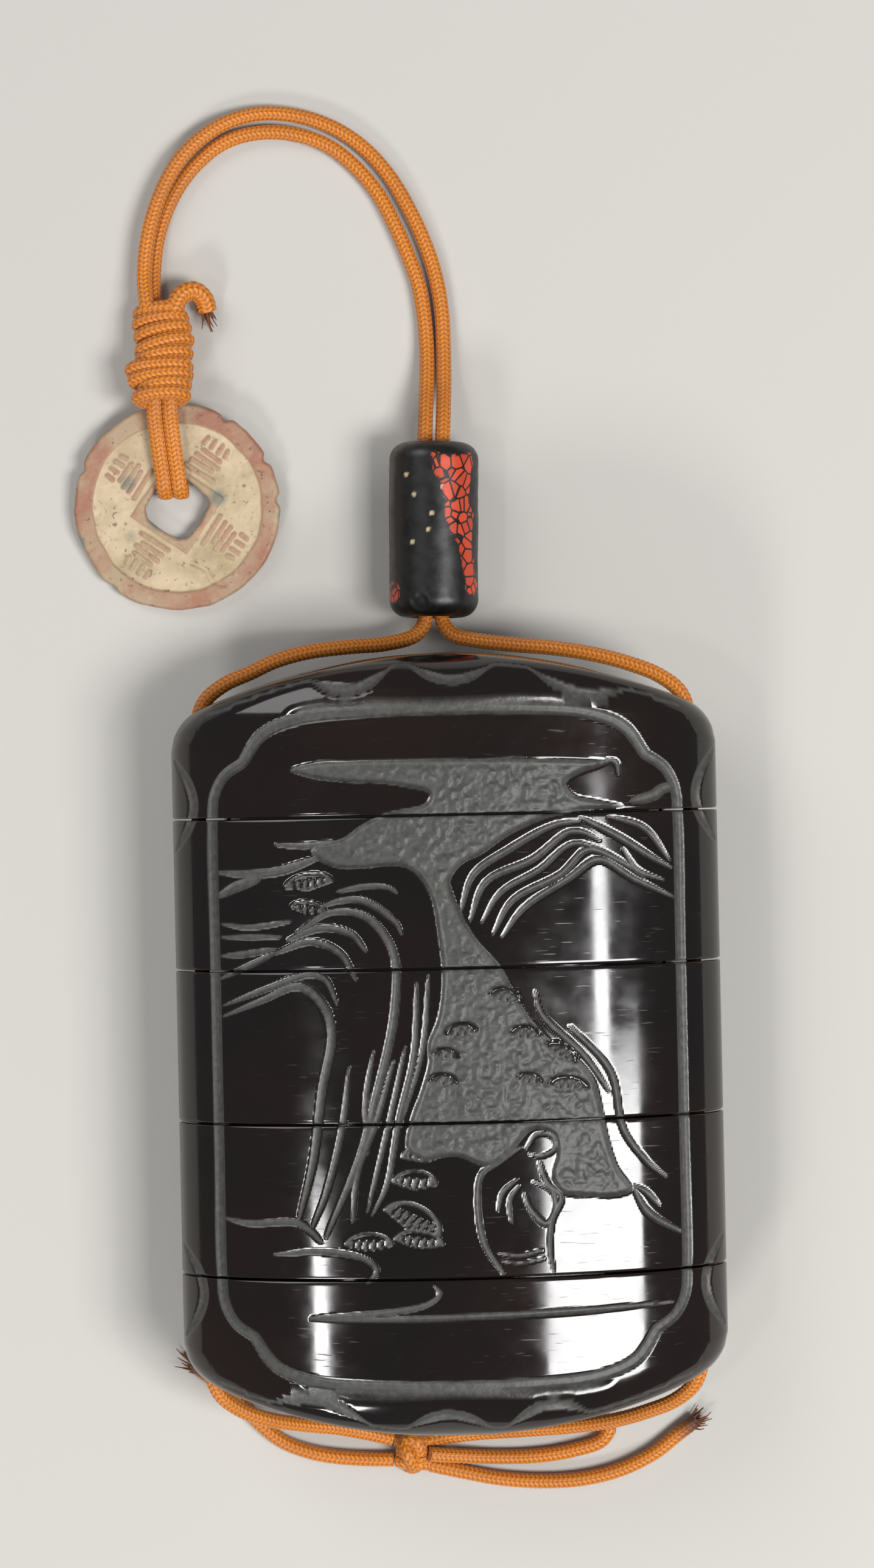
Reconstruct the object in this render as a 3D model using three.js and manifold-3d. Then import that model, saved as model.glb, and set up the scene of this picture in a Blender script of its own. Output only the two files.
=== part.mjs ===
// An inro: a case of five hollow sections stacked along +Y, lying on its back, strung on a silk
// cord with a bead and a coin as toggle. Millimetres, +X right, +Y towards the lid, +Z up out of
// the carved face. The origin is at the middle of the case, on the surface that it lies on.
import * as THREE from 'three';
import { mergeVertices } from 'three/addons/utils/BufferGeometryUtils.js';
import Module from 'manifold-3d';

const wasm = await Module();
wasm.setup();

// Driving dimensions of the case.
const halfWidth = 30.7;
const halfDepth = 12.06;
const halfLength = 43.8;
const aroundCount = 32;                    // sides of the lens-shaped cross-section
const crownRadius = 64;                    // bow of the two ends across the width
const crownDepthRadius = 60;               // bow of the two ends through the depth
const faceRound = { reach: 5.4, drop: 5.0 };   // rounding from the faces into the ends
const sideRound = { reach: 3.0, drop: 3.2 };   // tighter rounding at the shoulders
const endRatios = [1, 0.96, 0.84, 0.5];
const axisHeight = halfDepth * Math.cos(Math.PI / aroundCount);   // the lowest facet lies at z = 0

// The five sections: seams from the lid down, and what stands inside them.
const seams = [25.6, 8.7, -8.3, -25.4];
const seamGap = 0.3;
const recess = { halfWidth: 25.2, halfDepth: 10.6, height: 3.4 };
const riser = { halfWidth: 24.9, halfDepth: 10.3, height: 3.0 };
const storage = { halfWidth: 24.1, halfDepth: 9.5 };
const storageCount = 24;
const floorThickness = 1.6;
const endWall = 2.6;
const channel = { x: 27.75, radius: 1.4, halfLength: 32.6, sides: 8 };
const mouth = { radius: 1.6, start: 32, steps: 6 };   // the bent ends of a channel
const overlap = 1;                         // how far a joined or cut body reaches past a seam

// Carving.
const carvingDepth = 0.45;
const frameWidth = 1.4;
const strokeTip = 0.3;                     // a stroke's width at its ends, as a share of its own
const leaf = { teeth: 3, arcSteps: 3, toothDrop: 0.35, toothRise: 0.05 };
const scallop = { radius: 0.8, sides: 4, endSteps: 16, sideSteps: 4 };
const skinSteps = 24;                      // halvings when the skin's height is sought

// Cord, bead, coin and knots.
const cordDiameter = 1.7;
const cordSides = 8;
const clearance = 0.05;                    // so that nothing loose dips into the surface
const floorLine = cordDiameter / 2 + clearance;   // height of a lying cord's middle
const flatStrand = { thickness: 0.42, pitch: 2.2, shift: 0.9 };
const cutEnd = { radius: 1.1, pitch: 1.5 };
const bead = { radius: 5.15, bore: 2.3, length: 20, round: 2.0, cornerSteps: 3, sides: 16,
  x: -0.57, y: 58.1, turn: -1.3 };
const coin = { radius: 12, thickness: 1.3, field: 9.7, step: 0.2, relief: 0.2, sides: 24,
  hole: 3.35, holeSides: 8, border: 6.3, x: -30.1, y: 61.6, turn: -35, tilt: 4.5 };
const coinStroke = { groups: 4, rows: 3, from: 4.7, spacing: 1.55, width: 0.5, length: 3.8,
  shorter: 0.7, depth: 0.6, proud: 0.15 };
const wrap = { radius: 3.6, flatten: 0.64, length: 11.2, turns: 7, sides: 12,
  x: -31.1, y: 78.6, z: 4.2, tilt: -18 };
const smallKnot = { radius: 1.75, length: 4.2, turns: 2, sides: 10, x: -5.4, y: -48, z: 1.8 };
const wrapGroove = { radius: 0.88, half: 0.46, end: 0.9 };   // shares of a turn's radius and pitch

const finish = (color, roughness, metalness = 0) =>
  new THREE.MeshStandardMaterial({ color, roughness, metalness });
const lacquer = () => finish(0x1b0f0b, 0.12);
const silk = () => finish(0xc4701c, 0.65);
const blackGlaze = () => finish(0x141312, 0.4);
const wornBrass = () => finish(0xb9a283, 0.6, 0.3);

// Manifold solids and three.js geometries.
function solidOf(geometry) {
  const bare = geometry.clone();
  bare.deleteAttribute('normal');
  bare.deleteAttribute('uv');
  const merged = mergeVertices(bare, 1e-4);
  return new wasm.Manifold(new wasm.Mesh({
    numProp: 3,
    vertProperties: new Float32Array(merged.attributes.position.array),
    triVerts: new Uint32Array(merged.index.array),
  }));
}

function geometryOf(solid) {
  const result = solid.getMesh();
  const geometry = new THREE.BufferGeometry();
  geometry.setAttribute('position', new THREE.BufferAttribute(result.vertProperties, 3));
  geometry.setIndex(new THREE.BufferAttribute(result.triVerts, 1));
  geometry.computeVertexNormals();
  return geometry;
}

const join = (solids) => solids.reduce((whole, piece) => whole.add(piece));

// The height in Y of the crowned end over a point of the cross-section. x and z are measured from
// the case's axis, and inset moves the whole end inward.
function crown(x, z, inset = 0) {
  const radius = Math.hypot(x, z);
  const share = Math.hypot(x / (halfWidth - inset), z / (halfDepth - inset));
  const level = halfLength - inset - x * x / (2 * crownRadius) - z * z / (2 * crownDepthRadius);
  if (radius === 0) return level;
  const facing = (z / radius) ** 2;
  const reach = faceRound.reach * facing + sideRound.reach * (1 - facing);
  const drop = faceRound.drop * facing + sideRound.drop * (1 - facing);
  const start = 1 - reach / (radius / share);
  const along = THREE.MathUtils.clamp((share - start) / (1 - start), 0, 1);
  return level - drop * (1 - Math.sqrt(1 - along * along));
}

// A body with the lens-shaped cross-section. Each end is a level in Y, or the word 'crown' for
// the rounded end of the case, moved inward by inset.
function lensBody(size, bottom, top, { count = aroundCount, inset = 0 } = {}) {
  const positions = [];
  const indices = [];
  const rings = [];
  const addRing = (ratio, level) => {
    rings.push(positions.length / 3);
    for (let i = 0; i < count; i += 1) {
      const angle = 2 * Math.PI * (i + 0.5) / count;
      const x = size.halfWidth * ratio * Math.cos(angle);
      const z = size.halfDepth * ratio * Math.sin(angle);
      positions.push(x, level(x, z), axisHeight + z);
    }
  };
  const endLevels = (end, sign) => (end === 'crown'
    ? { ratios: endRatios, level: (x, z) => sign * crown(x, z, inset) }
    : { ratios: [1], level: () => end });
  const below = endLevels(bottom, -1);
  const above = endLevels(top, 1);
  [...below.ratios].reverse().forEach((ratio) => addRing(ratio, below.level));
  above.ratios.forEach((ratio) => addRing(ratio, above.level));
  for (let ring = 0; ring + 1 < rings.length; ring += 1) {
    for (let i = 0; i < count; i += 1) {
      const a = rings[ring] + i;
      const b = rings[ring] + (i + 1) % count;
      const c = rings[ring + 1] + i;
      const d = rings[ring + 1] + (i + 1) % count;
      indices.push(a, c, b, b, c, d);
    }
  }
  const closeEnd = (ring, level, flip) => {
    const centre = positions.length / 3;
    positions.push(0, level(0, 0), axisHeight);
    for (let i = 0; i < count; i += 1) {
      const a = ring + i;
      const b = ring + (i + 1) % count;
      indices.push(...(flip ? [centre, a, b] : [centre, b, a]));
    }
  };
  closeEnd(rings[0], below.level, true);
  closeEnd(rings[rings.length - 1], above.level, false);
  return new wasm.Manifold(new wasm.Mesh({
    numProp: 3,
    vertProperties: new Float32Array(positions),
    triVerts: new Uint32Array(indices),
  }));
}

// A blade stroke: a narrow band along a row of [x, y] points that tapers to its ends.
function strokeShape(points, width) {
  const left = [];
  const right = [];
  points.forEach(([x, y], i) => {
    const [beforeX, beforeY] = points[Math.max(i - 1, 0)];
    const [afterX, afterY] = points[Math.min(i + 1, points.length - 1)];
    const normal = new THREE.Vector2(beforeY - afterY, afterX - beforeX).normalize();
    const swell = Math.sin(Math.PI * i / (points.length - 1)) ** 0.5;
    const half = width / 2 * (strokeTip + (1 - strokeTip) * swell);
    left.push(new THREE.Vector2(x + normal.x * half, y + normal.y * half));
    right.push(new THREE.Vector2(x - normal.x * half, y - normal.y * half));
  });
  return new THREE.Shape([...left, ...right.reverse()]);
}

const regionShape = (points) => new THREE.Shape(points.map((point) => new THREE.Vector2(...point)));

// A clump of leaves: an arched top over a row of teeth.
function leafShape(x, y, width, height, turn) {
  const points = [];
  for (let i = 0; i <= leaf.arcSteps; i += 1) {
    const angle = Math.PI * (1 - i / leaf.arcSteps);
    points.push([width / 2 * Math.cos(angle), height * Math.sin(angle)]);
  }
  for (let i = 1; i < leaf.teeth * 2; i += 1) {
    const along = 0.5 - i / (leaf.teeth * 2);
    points.push([width * along, height * (i % 2 ? -leaf.toothDrop : leaf.toothRise)]);
  }
  const [c, s] = [Math.cos(turn), Math.sin(turn)];
  return regionShape(points.map(([px, py]) => [x + c * px - s * py, y + s * px + c * py]));
}

// A shape pressed through one half of the case, front or back.
function pressed(shape, side) {
  const depth = 2 * halfDepth;
  const geometry = new THREE.ExtrudeGeometry(shape, { depth, bevelEnabled: false, steps: 1 });
  geometry.translate(0, 0, side > 0 ? axisHeight : axisHeight - depth);
  return solidOf(geometry);
}

// The line of the panel's frame: a flat crown, a cusp at each corner and straight sides.
function frameLine() {
  const crownArc = [[0, 37.3], [9, 37.1], [16, 36.5], [20, 34.9], [22.3, 31.8]];
  const shoulderArc = [[24.4, 30.4], [25.6, 28.2], [25.9, 25]];
  const quarter = [...crownArc, ...shoulderArc];
  const half = [...quarter, ...[...quarter].reverse().map(([x, y]) => [x, -y])];
  const inner = half.slice(1, -1).reverse().map(([x, y]) => [-x, y]);
  return [...half, ...inner].map(([x, y]) => new THREE.Vector2(x, y));
}

function frameSolid(side) {
  const line = frameLine();
  const grown = (distance) => pressed(new THREE.Shape(line.map((point, i) => {
    const before = line[(i + line.length - 1) % line.length];
    const after = line[(i + 1) % line.length];
    const outward = new THREE.Vector2(before.y - after.y, after.x - before.x).normalize();
    return new THREE.Vector2(point.x + outward.x * distance, point.y + outward.y * distance);
  })), side);
  return grown(frameWidth / 2).subtract(grown(-frameWidth / 2));
}

// The landscape on the front. Each stroke is its width and the points that it passes through.
const cliffStrokes = [
  [0.7, [[-13.8, 15.8], [-9, 16.6], [-5, 12.5]]],
  [1.0, [[-16.6, 12.9], [-12.5, 15.2], [-8, 14.2], [-5.6, 9], [-7.5, -2.8], [-11.5, -15],
    [-14.2, -20.8]]],
  [0.7, [[-19, 10.7], [-15, 12.2], [-10.2, 7.6]]],
  [0.7, [[-25.4, 10.4], [-18.9, 11]]],
  [0.7, [[-25.4, 6.4], [-18.5, 9.4]]],
  [1.0, [[-25.4, 3.8], [-18, 7.2], [-13.1, 2.6], [-14.4, -6], [-17.2, -18.8]]],
  [0.7, [[-11.2, -2], [-12, -9], [-15.7, -19.6]]],
  [0.7, [[-6.2, -1.2], [-8.6, -9], [-11.3, -19.4]]],
  [0.7, [[-3.4, 7.3], [-4, -0.8], [-9.2, -18.5]]],
  [0.7, [[2.5, 13.8], [3.2, 16.8], [9.6, 20.6], [13.6, 23.4], [17.4, 22.4]]],
  [0.7, [[5, 12.3], [6.2, 15], [14.4, 20.8], [18, 21.1], [22, 18.1]]],
  [0.8, [[14.9, 25], [22.5, 20.6], [25.4, 19]]],
  [0.7, [[9.5, 6], [10.6, 2.9], [17.6, -5.4]]],
  [0.7, [[14.2, 1.1], [19, -9.5], [23.7, -15.1]]],
  [0.7, [[19.9, -15.9], [22, -19.2], [25.6, -21.4]]],
];
const groundStrokes = [
  [0.8, [[-25.6, -18.9], [-17.5, -19], [-14.6, -21.2]]],
  [0.7, [[-19.9, -22.6], [-12, -22.4], [-8.6, -24.8]]],
  [0.8, [[-2.3, -25.9], [-3.4, -28.2], [-16, -29.6]]],
  [0.7, [[-16, -29.8], [4.9, -29.5], [24.2, -29]]],
];
const figureStrokes = [
  [0.8, [[7.6, -11], [3.1, -14.4], [2.9, -20.4], [5.6, -25.4]]],
  [0.7, [[8, -14.4], [11.3, -15.9], [10, -19.7], [8, -17], [8, -14.8]]],
  [0.7, [[10.2, -19.8], [11, -25.4]]],
];
const bandStrokes = [
  [1.0, [[-25.6, 19.4], [-20, 19.3], [-14, 21.2]]],
  [1.2, [[-25.6, 17.2], [-20.5, 19]]],
  [1.4, [[26, 28], [20.6, 26.6]]],
];

// The sunk ground of mist and ravine, from the lid down to the figure.
const mistOutline = [
  [-17, 30.9], [-14.5, 31.7], [-2, 31.9], [10, 31.7], [17.8, 31.3], [19.3, 29.6], [17.2, 30.5],
  [15, 29.8], [13.5, 28.7], [14.4, 27.6], [19.8, 26], [11.5, 25], [3.9, 21.1], [0.5, 18.4],
  [0.8, 16.5], [4.1, 10.8], [7.4, 5.6], [9.2, 2.8], [13.2, -1.4], [15.5, -3.7], [17.3, -10.2],
  [18.4, -13.7], [19.9, -16.4], [17.8, -17], [12, -16.3], [10.9, -14.2], [11.3, -11.2],
  [8.9, -9.7], [6, -12.1], [3.9, -13.2], [0.7, -12], [-3.2, -12.4], [-5.1, -10.9], [-3.3, -4.6],
  [-2.5, 0.2], [-1.3, 3.3], [-0.8, 10], [-1.7, 16.5], [-4.6, 19.9], [-9.6, 19.8], [-12, 20],
  [-14.4, 21.1], [-18.7, 22.7], [-11.5, 23.2], [-9.4, 24.6], [-2, 27.2], [-4.4, 28.6],
  [-10.6, 29.4],
];
// Leaf clumps: middle in x and y, width, height and turn in radians. The first list stands proud
// of the sunk ground, the second is cut into the polished face.
const raisedLeaves = [
  [6.2, 5.2, 3.8, 1.4, -0.3], [1.4, 1.3, 4, 1.4, 0], [-0.6, -4.6, 3.4, 1.3, 0],
  [8.4, 0.9, 3.6, 1.3, -0.1], [12.6, -4.8, 4.4, 1.2, 0],
];
const sunkLeaves = [
  [-3, -12.3, 5, 1.7, 0], [-4.4, -15, 5, 1.6, 0], [-4.8, -20.2, 6.4, 2.4, -0.5],
  [-9.4, -21.6, 5.4, 1.5, 0], [-19, 16.4, 6, 1.5, 0.1],
];

const strokesPressed = (strokes, side) =>
  strokes.map(([width, points]) => pressed(strokeShape(points, width), side));

function frontCarving() {
  const leaves = (rows) => rows.map((row) => pressed(leafShape(...row), 1));
  const ground = pressed(regionShape(mistOutline), 1).subtract(join(leaves(raisedLeaves)));
  const strokes = [...cliffStrokes, ...groundStrokes, ...figureStrokes, ...bandStrokes];
  return join([ground, frameSolid(1), ...strokesPressed(strokes, 1), ...leaves(sunkLeaves)]);
}

// The back carries the same frame round a plainer view: far hills, mist and water.
const backStrokes = [
  [1.0, [[-25.6, 8], [-20, 13], [-15, 18.6], [-11, 15], [-4, 4]]],
  [0.7, [[-25.6, 3], [-15.4, 12.4], [-11.5, 8]]],
  [1.0, [[25.6, -4], [20, 0], [15, 5.5], [4.5, -4]]],
  [0.7, [[25.6, -9], [15, -0.4], [11, -4]]],
  [0.8, [[-25.6, -15], [-12, -14.2], [-5, -15.4]]],
  [0.8, [[-4, -25], [10, -24], [25.6, -24.6]]],
];
const backMist = [
  [-21, 27.2], [-12, 29.4], [2, 29], [9, 31], [19, 30.4], [14, 27.8], [20, 26.4], [6, 24.6],
  [-4, 26], [-12, 24.8],
];

function backCarving() {
  const ground = pressed(regionShape(backMist), -1);
  return join([ground, frameSolid(-1), ...strokesPressed(backStrokes, -1)]);
}

// The height above the axis of the case's skin over a point of the front.
function skinHeight(x, y) {
  const rim = halfDepth * Math.sqrt(Math.max(0, 1 - (x / halfWidth) ** 2));
  if (Math.abs(y) <= crown(x, rim)) return rim;
  let low = 0;
  let high = rim;
  for (let step = 0; step < skinSteps; step += 1) {
    const middle = (low + high) / 2;
    if (crown(x, middle) > Math.abs(y)) low = middle;
    else high = middle;
  }
  return (low + high) / 2;
}

const smoothCurve = (points) =>
  new THREE.CatmullRomCurve3(points.map((p) => new THREE.Vector3(...p)), false, 'centripetal');

// A cord or a groove: a round section along a smooth curve.
function tube(points, radius, sides, steps, thickness = radius) {
  const section = new THREE.Shape();
  for (let i = 0; i < sides; i += 1) {
    const angle = 2 * Math.PI * i / sides;
    const move = i === 0 ? 'moveTo' : 'lineTo';
    section[move](radius * Math.cos(angle), thickness * Math.sin(angle));
  }
  const extrudePath = smoothCurve(points);
  return new THREE.ExtrudeGeometry(section, { steps, extrudePath, bevelEnabled: false });
}

// The scalloped groove where the faces turn into the ends and sides: three lobes dip onto each
// end, and one lobe onto the face near each corner.
const endLobes = [
  { x: -10, half: 4.6, dip: 2.6 },
  { x: 1, half: 4.8, dip: 2.4 },
  { x: 15, half: 5.6, dip: 2.2 },
];
const endMargin = 1.6;
const sideLobe = { y: 27.2, half: 5.2, dip: 2.3 };
const sideLine = 30.4;
const endReach = 27;                       // the end grooves stop at the cord channels

const lobe = (distance, { half, dip }) =>
  (Math.abs(distance) < half ? dip * Math.cos(Math.PI * distance / (2 * half)) : 0);

function endScallop(side, sign) {
  const points = [];
  for (let i = 0; i <= scallop.endSteps; i += 1) {
    const x = endReach * (2 * i / scallop.endSteps - 1);
    const dip = endLobes.reduce((sum, each) => sum + lobe(x * sign - each.x, each), 0);
    const y = halfLength - x * x / (2 * crownRadius) - endMargin - dip;
    points.push([x, sign * y, axisHeight + side * skinHeight(x, y)]);
  }
  return solidOf(tube(points, scallop.radius, scallop.sides, scallop.endSteps));
}

function sideScallop(side, xSign, ySign) {
  const points = [];
  for (let i = 0; i <= scallop.sideSteps; i += 1) {
    const y = sideLobe.y + sideLobe.half * (2 * i / scallop.sideSteps - 1);
    const x = sideLine - lobe(y - sideLobe.y, sideLobe);
    points.push([xSign * x, ySign * y, axisHeight + side * skinHeight(x, y)]);
  }
  return solidOf(tube(points, scallop.radius, scallop.sides, scallop.sideSteps));
}

function scallops() {
  const grooves = [];
  for (const side of [1, -1]) {
    for (const sign of [1, -1]) {
      grooves.push(endScallop(side, sign));
      for (const xSign of [1, -1]) grooves.push(sideScallop(side, xSign, sign));
    }
  }
  return join(grooves);
}

// A cord channel: a bore through all five sections, bent open at both ends where the cord turns.
function channelSolid(side) {
  const x = side * channel.x;
  const { radius, halfLength: reach, sides } = channel;
  const bore = new THREE.CylinderGeometry(radius, radius, 2 * reach, sides);
  bore.translate(x, 0, axisHeight);
  const bent = (points) => tube(points, mouth.radius, sides, mouth.steps);
  const upper = bent([...upperMouth(side), [x, mouth.start, axisHeight]]);
  const lower = bent([[x, -mouth.start, axisHeight], ...lowerMouth(side)]);
  return join([bore, upper, lower].map(solidOf));
}

// The sections, from the lid (0) to the bottom (4).
function section(index, cut) {
  const isLid = index === 0;
  const isLast = index === seams.length;
  const top = isLid ? 'crown' : seams[index - 1] - seamGap / 2;
  const bottom = isLast ? 'crown' : seams[index] + seamGap / 2;
  const inside = { count: storageCount, inset: endWall };
  let body = lensBody({ halfWidth, halfDepth }, bottom, top);
  if (!isLid) body = body.add(lensBody(riser, top - overlap, top + riser.height, inside));
  if (!isLast) {
    const upTo = isLid ? 'crown' : bottom + recess.height;
    body = body.subtract(lensBody(recess, bottom - overlap, upTo, inside));
  }
  if (!isLid) {
    const from = isLast ? 'crown' : bottom + recess.height + floorThickness;
    body = body.subtract(lensBody(storage, from, top + riser.height + overlap, inside));
  }
  return body.subtract(cut);
}

// The cord's two strands. Each runs from the knot by the coin round an arch, through the bead,
// over the shoulder, down its channel and along the bottom end to the small knot there.
const throughCase = (x) => [
  [x, 33, axisHeight], [x, 22, axisHeight], [x, 11, axisHeight], [x, 0, axisHeight],
  [x, -11, axisHeight], [x, -22, axisHeight], [x, -33, axisHeight],
];
const upperMouth = (side) => [
  [side * 21.6, 42, 11.8], [side * 24.6, 40.7, axisHeight], [side * 26.8, 38.9, axisHeight],
  [side * 27.7, 36.4, axisHeight],
];
const lowerMouth = (side) => [
  [side * 27.7, -36.6, 11.9], [side * 26.9, -39.3, 11.2], [side * 24.8, -41.4, 9.7],
  [side * 21.8, -42.9, 7.8],
];
const routeLeft = [
  [-32.2, 84.9, 1.8], [-32.3, 88.5, 1], [-31.7, 93, floorLine], [-29.9, 97.6, floorLine],
  [-27.1, 101.3, floorLine], [-23.7, 103.8, floorLine], [-19.6, 104.8, floorLine],
  [-15.6, 104.5, floorLine], [-11.8, 103.1, floorLine], [-8.8, 100.7, floorLine],
  [-6.2, 97.5, floorLine], [-4.4, 94, floorLine], [-2.9, 90.4, floorLine], [-1.7, 86.8, floorLine],
  [-1.1, 82.8, 0.95], [-0.9, 79, 1.3], [-1, 75, 2.4], [-1.2, 71.5, 4], [-1.38, 67, 5.15],
  [-1.58, 58, 5.15], [-1.75, 49.6, 5.15], [-1.8, 47.6, 5.2], [-2.9, 46.1, 5.7],
  [-6.4, 45.1, 7.4], [-10.4, 44.8, 8.9], [-15.4, 44.2, 10.4], [-19, 43.2, 11.3],
  ...upperMouth(-1), ...throughCase(-channel.x), ...lowerMouth(-1),
  [-18.2, -44, 5.2], [-14, -44.9, 2.8], [-10.6, -45.8, 1.3], [-7.5, -46.6, 1],
];
const routeRight = [
  [-33, 84.9, 3.5], [-33.3, 88.5, 2.6], [-32.7, 93.2, 2.5], [-31.1, 98, 2.3],
  [-28.5, 102.2, 2.1], [-24.6, 105.4, 1.6], [-20.2, 106.9, 1.1], [-15.6, 106.7, floorLine],
  [-11.2, 105.2, floorLine], [-7.6, 102.7, floorLine], [-4.7, 99.3, floorLine],
  [-2.6, 95.6, floorLine], [-1, 92, floorLine], [0.2, 88.2, floorLine], [0.9, 84, 0.95],
  [1.05, 79.5, 1.3], [1, 75, 2.4], [0.85, 71.5, 4], [0.62, 67, 5.15], [0.42, 58, 5.15],
  [0.21, 49.6, 5.15], [0.24, 47.6, 5.2], [1.4, 46.1, 5.7], [3.6, 45.4, 6.6], [8, 44.7, 8.3],
  [13, 44.1, 9.9], [17.6, 43.2, 11.1],
  ...upperMouth(1), ...throughCase(channel.x), ...lowerMouth(1),
  [18, -44.3, 5.4], [13, -45.3, 2.9], [8, -45.8, 1.5], [3, -46.1, 1], [-1.2, -46.5, 0.95],
  [-3.4, -46.9, 1],
];
const routeTailLeft = [
  [-7.5, -49, 1], [-12, -48.8, floorLine], [-16.2, -48.2, floorLine], [-20, -46.8, floorLine],
  [-22.8, -44.6, floorLine], [-25.2, -41.8, floorLine], [-28, -39.4, floorLine],
  [-30.6, -37.4, floorLine],
];
const routeTailRight = [
  [-3.3, -49.7, 1], [0.5, -50.6, floorLine], [5, -51.5, floorLine], [10, -51.9, floorLine],
  [14.4, -51.7, floorLine], [18.8, -50.7, floorLine], [22.8, -48.8, floorLine],
  [25.4, -46.8, floorLine], [27.6, -45.2, floorLine],
];
const routeLoopRight = [
  [-3.3, -48.2, 2.6], [0.5, -48.7, 1.4], [5, -49, floorLine], [9.7, -48.9, floorLine],
  [13.6, -48.3, floorLine], [16.6, -47.3, floorLine], [17.5, -45.7, floorLine],
  [16.2, -44.3, floorLine], [13, -43.9, floorLine], [8, -43.6, floorLine],
];
const routeKnotEnd = [
  [-29.9, 84.9, 2.7], [-29.3, 86.4, 2.9], [-27.7, 86.9, 2.7], [-26.3, 85.8, 2.1], [-25.8, 84, 1.5],
];
// One strand through the coin: over its upper face, down its hole and back beneath it.
const routeThroughCoin = (shift) => [
  [-31.4, 72.4, 5.1], [-31.3, 70.5, 4.25], [-31, 67.5, 3.7], [-30.7, 65, 3.45], [-30.6, 63.7, 3.1],
  [-30.5, 62.9, 2.1], [-30.5, 63.3, 1], [-30.6, 64.8, 0.58], [-30.9, 68, 0.65], [-31.2, 72, 0.85],
  [-31.3, 74.1, 1.3], [-31.3, 75.2, 1.7],
].map(([x, y, z]) => [x + shift, y, z]);

function cord(points, size = {}) {
  const { radius = cordDiameter / 2, pitch = 3 * cordDiameter, thickness = radius } = size;
  const steps = Math.ceil(smoothCurve(points).getLength() / pitch);
  return tube(points, radius, cordSides, steps, thickness);
}

// The bead: a cylinder with rounded ends and a wide bore.
function beadGeometry() {
  const { radius, bore, length, round, cornerSteps, sides } = bead;
  const profile = [];
  const corner = (y, from) => {
    for (let i = 0; i <= cornerSteps; i += 1) {
      const angle = from + Math.PI / 2 * i / cornerSteps;
      const reach = radius - round + round * Math.cos(angle);
      profile.push(new THREE.Vector2(reach, y + round * Math.sin(angle)));
    }
  };
  corner(round - length / 2, -Math.PI / 2);
  corner(length / 2 - round, 0);
  profile.push(new THREE.Vector2(bore, length / 2), new THREE.Vector2(bore, -length / 2));
  profile.push(profile[0].clone());
  return new THREE.LatheGeometry(profile, sides);
}

// The coin: a raised rim round a sunk field, a raised border round the square hole, and four
// groups of plain raised strokes, side by side. The hole is worn to eight sides. Its plane is XY.
function coinGeometry() {
  const half = coin.thickness / 2;
  const profile = [
    [0, -half], [coin.radius, -half], [coin.radius, half], [coin.field, half],
    [coin.field - coin.step, half - coin.relief], [0, half - coin.relief],
  ].map((point) => new THREE.Vector2(...point));
  const disc = new THREE.LatheGeometry(profile, coin.sides);
  disc.rotateX(Math.PI / 2);
  const bar = (width, height, depth, x, z, turn) => {
    const box = new THREE.BoxGeometry(width, height, depth);
    box.translate(x, 0, z);
    box.rotateZ(turn);
    return solidOf(box);
  };
  let solid = solidOf(disc).add(bar(coin.border, coin.border, coin.thickness, 0, 0, 0));
  const { groups, rows, from, spacing, width, length, shorter } = coinStroke;
  const raised = half - coin.relief + coinStroke.proud - coinStroke.depth / 2;
  for (let group = 0; group < groups; group += 1) {
    const turn = 2 * Math.PI * group / groups;
    for (let row = 0; row < rows; row += 1) {
      const reach = length - shorter * row;
      solid = solid.add(bar(width, reach, coinStroke.depth, from + spacing * row, raised, turn));
    }
  }
  const opening = new THREE.CylinderGeometry(coin.hole, coin.hole, 2 * coin.thickness, coin.holeSides);
  opening.rotateX(Math.PI / 2);
  return geometryOf(solid.subtract(solidOf(opening)));
}

// The wrapped knot: a barrel with one bulge for each turn of the cord.
function wrapGeometry({ radius, length, turns, sides }) {
  const pitch = length / turns;
  const profile = [new THREE.Vector2(0, -length / 2)];
  for (let turn = 0; turn < turns; turn += 1) {
    const middle = pitch * (turn + 0.5) - length / 2;
    profile.push(new THREE.Vector2(radius * wrapGroove.radius, middle - pitch * wrapGroove.half));
    profile.push(new THREE.Vector2(radius, middle));
  }
  profile.push(new THREE.Vector2(radius * wrapGroove.end, length / 2));
  profile.push(new THREE.Vector2(0, length / 2));
  return new THREE.LatheGeometry(profile, sides);
}

const inro = new THREE.Group();

function add(name, geometry, material, place = {}) {
  const mesh = new THREE.Mesh(geometry, material);
  mesh.name = name;
  mesh.position.set(...(place.position ?? [0, 0, 0]));
  mesh.rotation.set(...(place.rotation ?? [0, 0, 0]).map(THREE.MathUtils.degToRad));
  mesh.scale.set(...(place.scale ?? [1, 1, 1]));
  inro.add(mesh);
  return mesh;
}

// The carving is a skin-deep cut, the same depth everywhere under the curved faces.
const core = lensBody({ halfWidth: halfWidth - carvingDepth, halfDepth: halfDepth - carvingDepth },
  'crown', 'crown', { inset: carvingDepth });
const carving = join([frontCarving(), backCarving()]).subtract(core);
const cut = join([carving, scallops(), channelSolid(1), channelSolid(-1)]);
['lid', 'tier_1', 'tier_2', 'tier_3', 'tier_4'].forEach((name, index) =>
  add(name, geometryOf(section(index, cut)), lacquer()));

add('ojime_bead', beadGeometry(), blackGlaze(),
  { position: [bead.x, bead.y, bead.radius], rotation: [0, 0, bead.turn] });
const coinLift = coin.radius * Math.sin(THREE.MathUtils.degToRad(coin.tilt)) + clearance;
const coinMesh = add('netsuke_coin', coinGeometry(), wornBrass(),
  { position: [coin.x, coin.y, coinLift + coin.thickness / 2], rotation: [coin.tilt, 0, 0] });
coinMesh.rotateZ(THREE.MathUtils.degToRad(coin.turn));

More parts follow.
